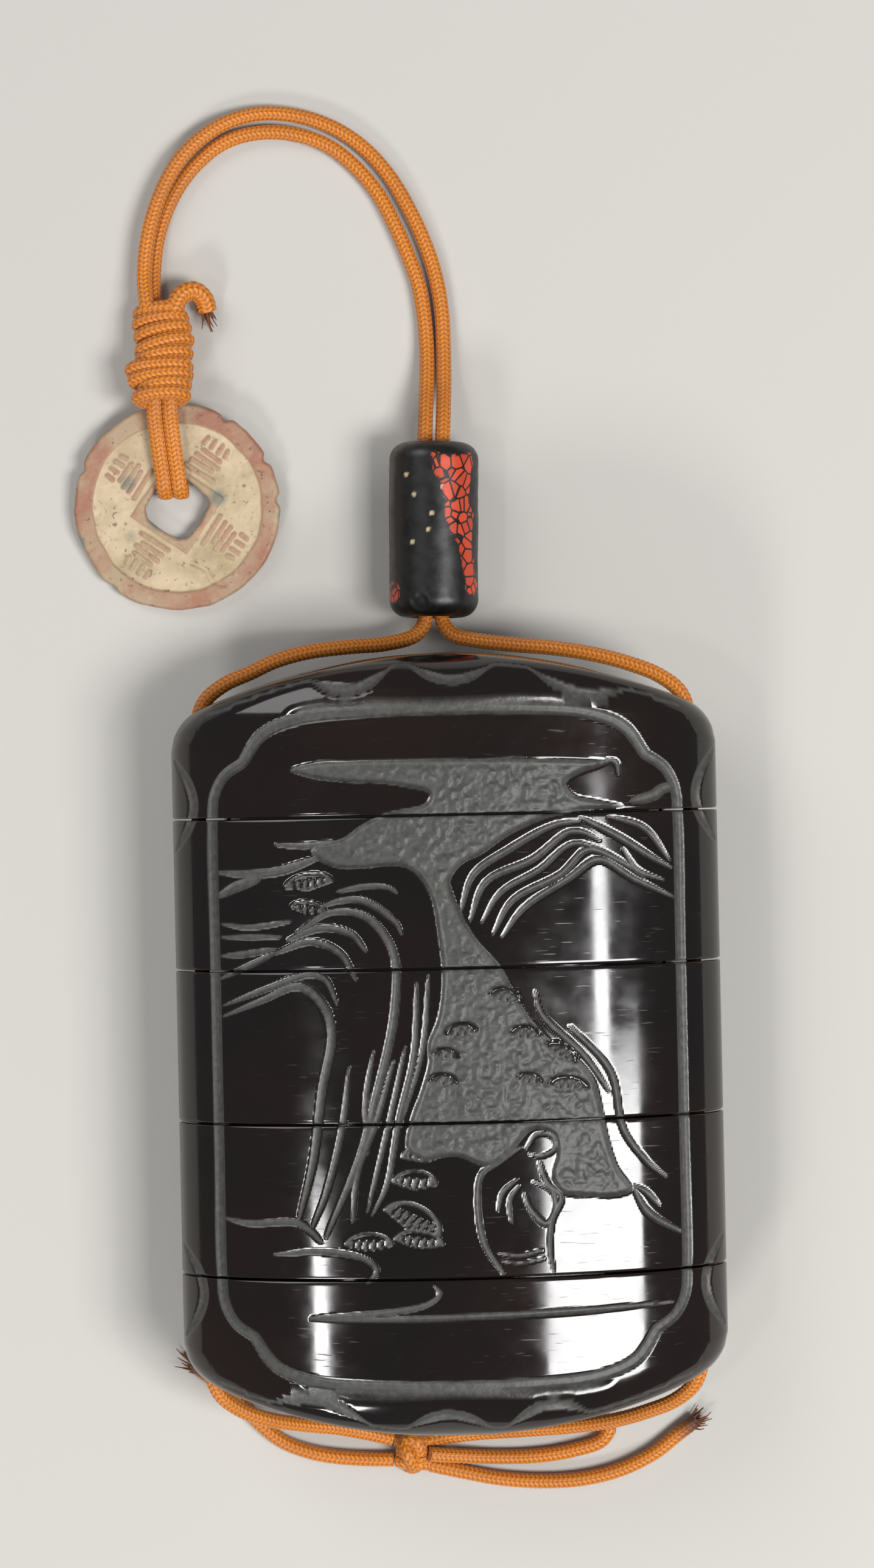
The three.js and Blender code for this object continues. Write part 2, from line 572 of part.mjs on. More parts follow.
add('cord_left', cord(routeLeft), silk());
add('cord_right', cord(routeRight), silk());
add('netsuke_knot', wrapGeometry(wrap), silk(),
  { position: [wrap.x, wrap.y, wrap.z], rotation: [wrap.tilt, 0, 0], scale: [1, 1, wrap.flatten] });
add('netsuke_knot_end', cord(routeKnotEnd, cutEnd), silk());
add('netsuke_loop_left', cord(routeThroughCoin(-flatStrand.shift), flatStrand), silk());
add('netsuke_loop_right', cord(routeThroughCoin(flatStrand.shift), flatStrand), silk());
add('bottom_knot', wrapGeometry(smallKnot), silk(),
  { position: [smallKnot.x, smallKnot.y, smallKnot.z] });
add('tail_left', cord(routeTailLeft), silk());
add('tail_right', cord(routeTailRight), silk());
add('loop_right', cord(routeLoopRight), silk());

export default inro;
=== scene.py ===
"""An inro: a lacquered case of five nested sections, carved with a landscape, strung on a braided
silk cord with a bead (the ojime) and an old coin as its toggle (the netsuke). It lies on its back.
Blender 4.5. Lengths inside the script are millimetres until a mesh is made."""
import math

import bpy
import numpy as np
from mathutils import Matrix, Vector


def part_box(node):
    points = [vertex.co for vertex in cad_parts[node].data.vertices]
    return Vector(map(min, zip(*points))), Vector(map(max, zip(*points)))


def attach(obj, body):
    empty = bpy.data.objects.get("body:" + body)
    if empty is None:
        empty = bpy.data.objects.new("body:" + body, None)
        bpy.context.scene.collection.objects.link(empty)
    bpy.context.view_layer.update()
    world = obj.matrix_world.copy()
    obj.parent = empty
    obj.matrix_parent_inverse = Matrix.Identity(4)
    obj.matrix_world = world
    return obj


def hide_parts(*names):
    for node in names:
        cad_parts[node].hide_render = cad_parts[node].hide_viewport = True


bl_info = {
    "name": "Carved inro",
    "version": (1, 0, 0),
    "blender": (4, 5, 0),
    "location": "3D View > Sidebar > Inro",
    "description": "Dresses the frame of an inro with carved lacquer, silk cord, bead and coin",
    "category": "Add Mesh",
}

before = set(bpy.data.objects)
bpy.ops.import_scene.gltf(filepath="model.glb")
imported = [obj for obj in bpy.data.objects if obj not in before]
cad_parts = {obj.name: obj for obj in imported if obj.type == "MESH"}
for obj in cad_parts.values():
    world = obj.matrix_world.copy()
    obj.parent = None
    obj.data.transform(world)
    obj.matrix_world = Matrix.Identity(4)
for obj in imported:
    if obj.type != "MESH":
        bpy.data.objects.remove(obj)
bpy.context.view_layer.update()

MM = 0.001
SECTIONS = ["lid", "tier_1", "tier_2", "tier_3", "tier_4"]


def corners(node):
    """The lowest and highest corner of a CAD node, in millimetres."""
    low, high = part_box(node)
    return np.array(low) / MM, np.array(high) / MM


# The case's own sizes. Its solids have 32 flat sides, so the true ellipse is a little larger.
SIDE_COUNT = 32
FLATTENING = math.cos(math.pi / SIDE_COUNT)
HALF_WIDTH = corners("tier_2")[1][0] / FLATTENING
AXIS_HEIGHT = corners("tier_2")[1][2] / 2
HALF_DEPTH = AXIS_HEIGHT / FLATTENING
HALF_LENGTH = corners("lid")[1][1]
SEAMS = [corners(name)[0][1] - 0.15 for name in SECTIONS[:-1]]
CROWN_RADIUS = 64.0
CROWN_DEPTH_RADIUS = 60.0
FACE_ROUND = {"reach": 5.4, "drop": 5.0}
SIDE_ROUND = {"reach": 3.0, "drop": 3.2}
RECESS = {"half_width": 25.2, "half_depth": 10.6, "height": 3.4}
RISER = {"half_width": 24.9, "half_depth": 10.3, "height": 3.0}
STORAGE = {"half_width": 24.1, "half_depth": 9.5}
FLOOR_THICKNESS = 1.6
END_WALL = 2.6
CHANNEL_X = 27.75
MOUTH_RADIUS = 1.35
MOUTH_DEPTH = 6
MOUTH_FROM = 30          # the mouths lie further than this from the middle

BEAD = {"radius": 5.15, "bore": 2.3, "length": 20.0, "round": 2.0, "middle": (-0.57, 58.1, 5.15),
        "turn": -1.3}
COIN = {"radius": 12.0, "thickness": 1.3, "field": 9.75, "relief": 0.28, "hole": 3.3,
        "border": 3.15, "middle": (-30.1, 61.6, 1.64), "turn": -35.0, "tilt": 4.5}
CORD_RADIUS = 0.85
FLOOR_LINE = CORD_RADIUS + 0.05


# ---------------------------------------------------------------------------------------------
# Settings that a user would change.

def linear(text):
    """An sRGB hex colour as linear red, green and blue."""
    shares = [int(text[i:i + 2], 16) / 255 for i in (0, 2, 4)]
    return tuple(c / 12.92 if c <= 0.04045 else ((c + 0.055) / 1.055) ** 2.4 for c in shares)


def length_setting(name, description, millimetres):
    return bpy.props.FloatProperty(
        name=name, description=description, default=millimetres * MM, min=0, subtype="DISTANCE",
        unit="LENGTH", precision=5)


def colour_setting(name, description, text):
    return bpy.props.FloatVectorProperty(
        name=name, description=description, default=linear(text), size=3, min=0, max=1,
        subtype="COLOR")


class InroCaseSettings(bpy.types.PropertyGroup):
    """Sizes and colours of the lacquered case."""
    carving: length_setting("Carving depth", "Depth of the ground cut away for mist and ravine", 0.42)
    stroke: length_setting("Stroke depth", "Depth of a cut line", 0.3)
    seam: length_setting("Seam", "Gap between two sections", 0.2)
    edge: length_setting("Edge", "Rounding of a section's rim at its seam", 0.22)
    fine: length_setting("Fine spacing", "Mesh spacing on the carved front", 0.17)
    lacquer: colour_setting("Lacquer", "Polished lacquer", "0E0907")
    undertone: colour_setting("Undertone", "Where the lacquer has worn brown", "1A0E09")
    ground: colour_setting("Cut ground", "Matt lacquer in the cuts", "474642")


class InroCordSettings(bpy.types.PropertyGroup):
    """Sizes and colours of the silk cord."""
    radius: length_setting("Radius", "Half the cord's width", CORD_RADIUS)
    pitch: length_setting("Stitch", "Length of one stitch of the braid", 0.55)
    # silk is the lit colour and shade is the painted shade of the silk between the stitches.
    silk: colour_setting("Silk", "Lit silk", "E08519")
    shade: colour_setting("Shade", "Silk between the stitches", "8A4B12")
    frayed: colour_setting("Cut end", "Singed ends of the cord", "4A2412")


class InroToggleSettings(bpy.types.PropertyGroup):
    """Colours of the bead and the coin."""
    glaze: colour_setting("Bead", "Black glaze", "0C0C0B")
    cells: colour_setting("Cells", "Vermilion cells", "AE3A1D")
    rim: colour_setting("Coin rim", "Worn metal of the rim", "9A6D57")
    field: colour_setting("Coin field", "Chalky patina on the field", "C2AE90")


class InroStageSettings(bpy.types.PropertyGroup):
    """The floor and the camera."""
    floor: colour_setting("Floor", "Plain pale floor", "BCB9B3")
    height: length_setting("Camera height", "Height of the camera over the floor", 450)


# ---------------------------------------------------------------------------------------------
# Curves, noise and sheets.

def eased(value, low, high):
    """0 up to low, 1 from high and a smooth step between them."""
    share = np.clip((value - low) / (high - low), 0, 1)
    return share * share * (3 - 2 * share)


def curve_through(points, closed=False, per_span=6):
    """A centripetal Catmull-Rom curve through a few points."""
    p = np.array(points, float)
    if closed:
        ends = np.vstack([p[-1:], p, p[:2]])
    else:
        ends = np.vstack([2 * p[:1] - p[1:2], p, 2 * p[-1:] - p[-2:-1]])
    t = np.linspace(0, 1, per_span, endpoint=False)[:, None]
    spans = []
    for a, b, c, d in zip(ends[:-3], ends[1:-2], ends[2:-1], ends[3:]):
        before, here, after = (np.linalg.norm(q - r) ** 0.5 for q, r in ((b, a), (c, b), (d, c)))
        leave = here * ((b - a) / before - (c - a) / (before + here) + (c - b) / here)
        arrive = here * ((c - b) / here - (d - b) / (here + after) + (d - c) / after)
        square = (3 * (c - b) - 2 * leave - arrive) * t ** 2
        spans.append(b + leave * t + square + (2 * (b - c) + leave + arrive) * t ** 3)
    spans.append(p[:1] if closed else p[-1:])
    return np.vstack(spans)


def evenly(line, step):
    """The same line with points about one step apart, and each point's distance along it."""
    lengths = np.linalg.norm(np.diff(line, axis=0), axis=1)
    along = np.concatenate([[0], np.cumsum(lengths)])
    at = np.linspace(0, along[-1], max(int(round(along[-1] / step)), 2) + 1)
    return np.stack([np.interp(at, along, values) for values in line.T], axis=1), at


def near_line(places, line, reach):
    """Which places lie within reach of a line, how far off and how far along (0 to 1) they are."""
    low = line.min(axis=0) - reach
    high = line.max(axis=0) + reach
    found = np.nonzero(((places > low) & (places < high)).all(axis=1))[0]
    near = places[found]
    distance = np.full(len(found), 1e9)
    along = np.zeros(len(found))
    steps = np.linalg.norm(np.diff(line, axis=0), axis=1)
    starts = np.concatenate([[0], np.cumsum(steps)])
    for k, step in enumerate(steps):
        direction = line[k + 1] - line[k]
        share = np.clip((near - line[k]) @ direction / step ** 2, 0, 1)
        off = np.linalg.norm(near - line[k] - share[:, None] * direction, axis=1)
        closer = off < distance
        distance[closer] = off[closer]
        along[closer] = (starts[k] + share[closer] * step) / starts[-1]
    kept = distance < reach
    return found[kept], distance[kept], along[kept]


def inside(places, outline):
    """True for the places inside a closed outline."""
    x, y = places.T
    result = np.zeros(len(places), bool)
    for (ax, ay), (bx, by) in zip(outline[:-1], outline[1:]):
        if ay == by:
            continue
        crosses = (y < ay) != (y < by)
        result ^= crosses & (x < ax + (y - ay) * (bx - ax) / (by - ay))
    return result


def lumps(places, size, seed=0):
    """Smooth random lumps of about one size, between -1 and 1."""
    cell = np.floor(places / size)
    share = places / size - cell
    share = share * share * (3 - 2 * share)
    total = np.zeros(len(places))
    for corner in np.ndindex(*[2] * places.shape[1]):
        spot = cell + corner
        mixed = np.sin(spot @ np.array([127.1, 311.7, 74.7])[:places.shape[1]] + 17.3 * seed)
        weight = np.where(np.array(corner) == 1, share, 1 - share).prod(axis=1)
        total += weight * (2 * ((mixed * 43758.5453) % 1) - 1)
    return total


def select_only(piece):
    bpy.ops.object.select_all(action="DESELECT")
    piece.select_set(True)
    bpy.context.view_layer.objects.active = piece


def rolled(name, points, values=None, sheet_map=None, angle=60):
    """A flat grid rolled into a closed body. points holds rows of rings, in millimetres, and each
    ring ends where it starts. The meeting edges and the poles are merged. values are named
    numbers for each point, and sheet_map is the UV place of each point."""
    rows, columns = points.shape[:2]
    bpy.ops.object.select_all(action="DESELECT")
    bpy.ops.mesh.primitive_grid_add(x_subdivisions=columns - 1, y_subdivisions=rows - 1, size=1)
    piece = bpy.context.object
    piece.name = name
    mesh = piece.data
    mesh.name = name
    mesh.vertices.foreach_set("co", (points * MM).reshape(-1))
    for label, numbers in (values or {}).items():
        layer = mesh.attributes.new(label, "FLOAT", "POINT")
        layer.data.foreach_set("value", numbers.reshape(-1))
    if sheet_map is not None:
        corner = np.empty(len(mesh.loops), int)
        mesh.loops.foreach_get("vertex_index", corner)
        mesh.uv_layers[0].data.foreach_set("uv", sheet_map.reshape(-1, 2)[corner].reshape(-1))
    bpy.ops.object.mode_set(mode="EDIT")
    bpy.ops.mesh.select_all(action="SELECT")
    bpy.ops.mesh.remove_doubles(threshold=1e-7)
    bpy.ops.object.mode_set(mode="OBJECT")
    bpy.ops.object.shade_smooth_by_angle(angle=math.radians(angle))
    return piece


def finished(piece, material, slot, *nodes):
    """Gives a piece its material, hangs it under the root body and hides the CAD nodes that it stands
    for. slot is not used.
    """
    piece.data.materials.clear()
    piece.data.materials.append(material)
    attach(piece, "root")
    if nodes:
        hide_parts(*nodes)
    return piece


# ---------------------------------------------------------------------------------------------
# Materials.

def node(tree, kind, inputs=None, **settings):
    """Adds a node. Each input is a value or another node's output."""
    made = tree.nodes.new(kind)
    for key, value in settings.items():
        setattr(made, key, value)
    for key, value in (inputs or {}).items():
        if isinstance(value, bpy.types.NodeSocket):
            tree.links.new(value, made.inputs[key])
        else:
            made.inputs[key].default_value = value
    return made


def empty_material(name):
    """A material with only a shader and its output, and that shader."""
    material = bpy.data.materials.new(name)
    material.use_nodes = True
    return material, material.node_tree, material.node_tree.nodes["Principled BSDF"]


def wire(tree, shader, **outputs):
    """Links outputs to the shader's sockets of the same name."""
    for key, output in outputs.items():
        tree.links.new(output, shader.inputs[key.replace("_", " ")])


def shade_of(colour):
    return (*colour, 1.0)


def ramp(tree, value, low, high, start=0.0, end=1.0):
    """A value from low to high spread to start and end."""
    inputs = {"Value": value, "From Min": low, "From Max": high, "To Min": start, "To Max": end}
    return node(tree, "ShaderNodeMapRange", inputs).outputs["Result"]


def blend(tree, factor, first, second):
    """A colour between first and second."""
    return node(tree, "ShaderNodeMix", {0: factor, 6: first, 7: second}, data_type="RGBA").outputs[2]


def lacquer_material(look):
    """Urushi lacquer over wood, polished by hand to a mirror: deep brown-black with a red
    undertone where it is thin, and a matt stony grey in the cuts, which can't be polished,
    with painted shade in the pits of their stipple."""
    material, tree, shader = empty_material("polished urushi lacquer")
    place = node(tree, "ShaderNodeTexCoord").outputs["Object"]
    cut = node(tree, "ShaderNodeAttribute", attribute_name="cut").outputs["Fac"]
    cloud = node(tree, "ShaderNodeTexNoise", {"Vector": place, "Scale": 45.0, "Detail": 2.0})
    warm = ramp(tree, cloud.outputs["Fac"], 0.4, 0.8)
    polish = blend(tree, warm, shade_of(look.lacquer), shade_of(look.undertone))
    grit = node(tree, "ShaderNodeTexNoise", {"Vector": place, "Scale": 1500.0, "Detail": 2.0})
    # Painted shade: the pits of the stipple, low in the noise that also drives the bump, are painted
    # darker.
    stipple_pit_shade = ramp(tree, grit.outputs["Fac"], 0.3, 0.75)
    shaded_pit_ground = tuple(0.5 * c for c in look.ground)
    matt = blend(tree, stipple_pit_shade, shade_of(shaded_pit_ground), shade_of(look.ground))
    # Hairline scratches from the sash and the hand: streaks about 0.2 mm wide and 3 mm long.
    turned = node(tree, "ShaderNodeMapping", {"Vector": place, "Rotation": (0, 0, 0.9),
                                              "Scale": (1, 14, 1)})
    hair = node(tree, "ShaderNodeTexNoise",
                {"Vector": turned.outputs["Vector"], "Scale": 330.0, "Detail": 1.0})
    scratch = ramp(tree, hair.outputs["Fac"], 0.69, 0.74)
    haze = node(tree, "ShaderNodeTexNoise", {"Vector": place, "Scale": 260.0, "Detail": 4.0})
    rubbed = ramp(tree, haze.outputs["Fac"], 0.35, 0.7, 0.06, 0.13)
    scratched = node(tree, "ShaderNodeMath", {0: scratch, 1: 0.14, 2: rubbed},
                     operation="MULTIPLY_ADD").outputs[0]
    gloss = node(tree, "ShaderNodeMix", {0: cut, 2: scratched, 3: 0.5}).outputs[0]
    height = node(tree, "ShaderNodeMath", {0: cut, 1: grit.outputs["Fac"]}, operation="MULTIPLY")
    bump = node(tree, "ShaderNodeBump", {"Height": height.outputs[0], "Strength": 0.5,
                                         "Distance": 0.12 * MM})
    ripple = node(tree, "ShaderNodeBump", {"Height": haze.outputs["Fac"], "Strength": 0.05,
                                           "Distance": 0.1 * MM, "Normal": bump.outputs["Normal"]})
    wire(tree, shader, Base_Color=blend(tree, cut, polish, matt), Roughness=gloss,
         Normal=ripple.outputs["Normal"])
    shader.inputs["IOR"].default_value = 1.54
    return material


def silk_material(look):
    """Braided silk: a soft sheen, lit orange where a stitch stands up and painted shade, brown, where
    it dives between the stitches.
    """
    material, tree, shader = empty_material("braided silk")
    weave_and_shade = node(tree, "ShaderNodeAttribute", attribute_name="weave_and_shade").outputs["Fac"]
    age = node(tree, "ShaderNodeAttribute", attribute_name="age").outputs["Fac"]
    place = node(tree, "ShaderNodeTexCoord")
    soil = node(tree, "ShaderNodeTexNoise", {"Vector": place.outputs["Object"], "Scale": 160.0,
                                             "Detail": 3.0})
    # Painted light and shade: lit silk where a stitch stands up, painted shade where it dives.
    lit = blend(tree, weave_and_shade, shade_of(look.shade), shade_of(look.silk))
    tinted = blend(tree, ramp(tree, soil.outputs["Fac"], 0.4, 0.75, 0, 0.3), lit,
                   shade_of(look.shade))
    colour = blend(tree, age, tinted, shade_of(look.frayed))
    # Threads inside a stitch lie along the cord, about 22 to its girth.
    threads = node(tree, "ShaderNodeTexWave", {"Vector": place.outputs["UV"], "Scale": 7.0,
                                               "Distortion": 1.5, "Detail": 1.0},
                   bands_direction="X")
    bump = node(tree, "ShaderNodeBump", {"Height": threads.outputs["Fac"], "Strength": 0.35,
                                         "Distance": 0.05 * MM})
    wire(tree, shader, Base_Color=colour, Normal=bump.outputs["Normal"])
    shader.inputs["Roughness"].default_value = 0.55
    shader.inputs["Sheen Weight"].default_value = 0.25
    shader.inputs["Sheen Roughness"].default_value = 0.4
    shader.inputs["IOR"].default_value = 1.5
    return material


def bead_material(look):
    """Glazed ceramic with cells of vermilion enamel let into the black, all rubbed satin."""
    material, tree, shader = empty_material("black glazed ceramic with enamel cells")
    place = node(tree, "ShaderNodeTexCoord").outputs["Object"]
    patch = node(tree, "ShaderNodeAttribute", attribute_name="patch").outputs["Fac"]
    fleck = node(tree, "ShaderNodeAttribute", attribute_name="fleck").outputs["Fac"]
    cells = node(tree, "ShaderNodeTexVoronoi", {"Vector": place, "Scale": 780.0},
                 feature="DISTANCE_TO_EDGE")
    walls = ramp(tree, cells.outputs["Distance"], 0.05, 0.1)
    tone = node(tree, "ShaderNodeTexVoronoi", {"Vector": place, "Scale": 780.0})
    inked = node(tree, "ShaderNodeMath", {0: walls, 1: patch}, operation="MULTIPLY").outputs[0]
    light = tuple(min(1.0, 1.35 * c) for c in look.cells)
    pick = node(tree, "ShaderNodeSeparateColor", {"Color": tone.outputs["Color"]}).outputs["Red"]
    enamel = blend(tree, pick, shade_of(look.cells), shade_of(light))
    black = blend(tree, fleck, shade_of(look.glaze), shade_of(linear("B7A583")))
    fine = node(tree, "ShaderNodeTexNoise", {"Vector": place, "Scale": 900.0, "Detail": 4.0})
    gloss = ramp(tree, fine.outputs["Fac"], 0.3, 0.7, 0.3, 0.46)
    bump = node(tree, "ShaderNodeBump", {"Height": fine.outputs["Fac"], "Strength": 0.25,
                                         "Distance": 0.06 * MM})
    wire(tree, shader, Base_Color=blend(tree, inked, black, enamel), Roughness=gloss,
         Normal=bump.outputs["Normal"])
    return material


def coin_material(look):
    """Cast brass that has lain in the ground: a chalky patina on the field, worn brown metal on
    rim, border and strokes, with green and dark specks of corrosion."""
    material, tree, shader = empty_material("buried cast brass")
    place = node(tree, "ShaderNodeTexCoord").outputs["Object"]
    proud = node(tree, "ShaderNodeAttribute", attribute_name="proud").outputs["Fac"]
    broad = node(tree, "ShaderNodeTexNoise", {"Vector": place, "Scale": 260.0, "Detail": 5.0})
    fine = node(tree, "ShaderNodeTexNoise", {"Vector": place, "Scale": 1700.0, "Detail": 4.0})
    chalk = blend(tree, ramp(tree, broad.outputs["Fac"], 0.35, 0.7), shade_of(look.field),
                  shade_of(linear("A3906F")))
    worn = blend(tree, ramp(tree, broad.outputs["Fac"], 0.4, 0.65), shade_of(look.rim),
                 shade_of(linear("A58F74")))
    body = blend(tree, proud, chalk, worn)
    speckled = blend(tree, ramp(tree, fine.outputs["Fac"], 0.62, 0.72, 0, 0.7), body,
                     shade_of(linear("5C4A38")))
    spots = node(tree, "ShaderNodeTexVoronoi", {"Vector": place, "Scale": 150.0})
    verdigris = ramp(tree, spots.outputs["Distance"], 0.1, 0.2, 0.8, 0)
    colour = blend(tree, verdigris, speckled, shade_of(linear("6E7468")))
    bump = node(tree, "ShaderNodeBump", {"Height": fine.outputs["Fac"], "Strength": 0.6,
                                         "Distance": 0.12 * MM})
    wire(tree, shader, Base_Color=colour, Normal=bump.outputs["Normal"],
         Roughness=ramp(tree, fine.outputs["Fac"], 0.3, 0.7, 0.5, 0.75))
    shader.inputs["Metallic"].default_value = 0.15
    return material


def plain_material(name, colour, roughness):
    material, _, shader = empty_material(name)
    shader.inputs["Base Color"].default_value = shade_of(colour)
    shader.inputs["Roughness"].default_value = roughness
    return material


# ---------------------------------------------------------------------------------------------
# The case: its skin and the landscape cut into it. x is measured across, y towards the lid and z
# from the case's axis.

def crown(x, z, inset=0.0):
    """The height in y of the rounded end over a point of the cross-section."""
    radius = np.maximum(np.hypot(x, z), 1e-6)
    share = np.hypot(x / (HALF_WIDTH - inset), z / (HALF_DEPTH - inset))
    share = np.maximum(share, 1e-6)
    level = HALF_LENGTH - inset - x ** 2 / (2 * CROWN_RADIUS) - z ** 2 / (2 * CROWN_DEPTH_RADIUS)
    facing = (z / radius) ** 2
    reach = FACE_ROUND["reach"] * facing + SIDE_ROUND["reach"] * (1 - facing)
    drop = FACE_ROUND["drop"] * facing + SIDE_ROUND["drop"] * (1 - facing)
    start = 1 - reach * share / radius
    along = np.clip((share - start) / (1 - start), 0, 1)
    return level - drop * (1 - np.sqrt(1 - along ** 2))


def skin_height(x, y):
    """The height over the axis of the skin above a point of the front."""
    rim = HALF_DEPTH * np.sqrt(np.maximum(0, 1 - (x / HALF_WIDTH) ** 2))
    low = np.zeros_like(rim)
    high = rim.copy()
    for _ in range(24):
        middle = (low + high) / 2
        under = crown(x, middle) > np.abs(y)
        low = np.where(under, middle, low)
        high = np.where(under, high, middle)
    return np.where(np.abs(y) <= crown(x, rim), rim, (low + high) / 2)


# Cut lines of the front, as a width and the points that the line passes through. Falls and cliffs.
CLIFF_LINES = [
    (0.6, [(-12.1, 17.4), (-9.1, 17.9), (-6.6, 17.8), (-5.4, 17.1)]),
    (0.7, [(-13.8, 15.8), (-11.7, 16.4), (-9.1, 16.3), (-5.6, 13.8), (-5, 12.5)]),
    (0.95, [(-16.6, 12.9), (-12.9, 15.1), (-9, 14.6), (-6.1, 10.8), (-6, 4.2), (-8.4, -5.8),
            (-10.2, -11.8), (-14.1, -20.6)]),
    (0.7, [(-17.7, 12.1), (-13.8, 13.4), (-10.5, 12.6), (-9, 10.7)]),
    (0.7, [(-19, 10.7), (-15.1, 11.9), (-11.8, 10.5), (-10.2, 7.6)]),
    (0.6, [(-25.1, 14), (-22.1, 13.6), (-17.2, 14.2)]),
    (0.6, [(-25.2, 12.5), (-18.3, 12.5)]),
    (0.7, [(-25.2, 10.4), (-22, 10.7), (-18.9, 11.2)]),
    (0.7, [(-25.3, 7.9), (-21.5, 9.6), (-19, 10.8)]),
    (0.7, [(-25.1, 4.9), (-19.5, 7), (-15.2, 8.3), (-13.5, 7.6), (-12.3, 4.9)]),
    (0.95, [(-25.1, 3.7), (-20.4, 5.6), (-16.5, 7), (-13.8, 4.7), (-13, 1.7), (-14.2, -4.4),
            (-15.4, -12.4), (-17.1, -18.7)]),
    (0.7, [(-11.2, -2), (-12, -8.2), (-14, -15.8), (-15.6, -19.5)]),
    (0.6, [(-8.4, -0.1), (-9.4, -5.7), (-9.3, -11.6)]),
    (0.7, [(-6.2, -1.2), (-8.4, -8.3), (-10.4, -13.3), (-11.2, -19.1)]),
    (0.55, [(-4.9, 0.3), (-6.7, -7.4), (-9.5, -17.9)]),
    (0.7, [(-3.5, 7.3), (-4, -0.8), (-5.8, -7.9), (-7.3, -15), (-9, -18.3)]),
    (0.55, [(-2.2, 8.1), (-3, 0), (-5.5, -8.1)]),
    (0.75, [(1.5, 14.9), (3, 19), (6.9, 21.6), (12, 24.2), (14.9, 24.6)]),
    (0.75, [(2.5, 13.8), (4.3, 18.1), (9.6, 20.5), (13.6, 23.4), (15.3, 23.3), (17, 22.4)]),
    (0.6, [(3.8, 13.6), (5.9, 16.9), (10.2, 19.3), (14, 22.1), (17.4, 21.4)]),
    (0.75, [(5, 12.3), (7.2, 16), (12.7, 18.8), (15.7, 21.4), (19.5, 19.9), (22, 18.1)]),
    (0.75, [(6, 12), (8.4, 15.1), (13.5, 18.3), (16.9, 20.3), (20.7, 18.1), (25.2, 15.9)]),
    (0.7, [(14.9, 25), (19.1, 22.8), (22.5, 20.6), (25.1, 19.1)]),
    (0.6, [(17.9, 25.1), (22.1, 23.6), (24.9, 19.9)]),
    (0.5, [(19.5, 21.5), (21.2, 19), (24.2, 17.8)]),
    (0.6, [(9.5, 6), (10.2, 3.4), (14.8, -1.3), (17.6, -5.4)]),
    (0.7, [(13.2, 2.1), (17.7, -3.1), (19, -9.5), (21.7, -13.4), (23.7, -15.1)]),
    (0.55, [(20, -15.8), (21.5, -16.7), (22.9, -18.3)]),
    (0.75, [(20, -16.2), (21.6, -18.9), (25.4, -21.4)]),
]
# Banks, water and the edge of the path.
GROUND_LINES = [
    (0.8, [(-25.4, -18.7), (-22.6, -19.2), (-17.5, -19), (-15.8, -20), (-14.6, -21.2)]),
    (0.7, [(-19.9, -22.6), (-14.6, -22.2), (-9.8, -23.1), (-8.6, -24.4), (-9.6, -25.6)]),
    (0.8, [(-2.3, -26.1), (-1.7, -27), (-2.8, -28), (-5.9, -28.8), (-16, -29.6)]),
    (0.75, [(-16, -29.7), (-5.9, -29.7), (4.9, -29.5), (24.2, -29)]),
    (1.0, [(-25.4, 19.7), (-21.8, 19.5), (-18.3, 19.8), (-14, 21.2)]),
    (1.2, [(-25.4, 17), (-23.5, 18), (-20.5, 19)]),
    (1.3, [(26, 28), (24.4, 28), (23.1, 27.2), (20.6, 26.6)]),
    (0.5, [(17.8, 31.3), (19, 31), (19.3, 29.6)]),
    (0.6, [(-18.9, 22.7), (-15, 22.5), (-12.5, 23)]),
]
# A traveller in a hood and cloak, seen from behind on the path.
FIGURE_LINES = [
    (0.45, [(8.1, -11.3), (9.4, -9.7), (11.1, -10), (11.3, -11.3), (9.9, -12.1), (8.4, -11.9)]),
    (0.7, [(7.6, -11.1), (5, -12.7), (3.2, -13.9), (2.7, -17.4), (3.4, -21.8), (5.4, -25)]),
    (0.6, [(9.5, -12.8), (10.4, -15.2), (11.9, -16.7), (10.8, -19.2), (10.5, -22.5), (10.9, -25)]),
    (0.5, [(8.8, -14.9), (10.9, -16), (11.2, -17.9), (10.2, -19.6), (8.7, -18.3), (7.7, -16.1)]),
    (0.45, [(7.1, -14.6), (5.4, -16.1), (4.9, -18.1)]),
    (0.45, [(7.3, -15.3), (6.2, -16.9), (6.4, -19.4)]),
    (0.45, [(4.9, -22.7), (7.2, -23), (9.7, -22.5)]),
    (0.35, [(5.2, -23.6), (7.4, -23.8), (9.9, -23.4)]),
]
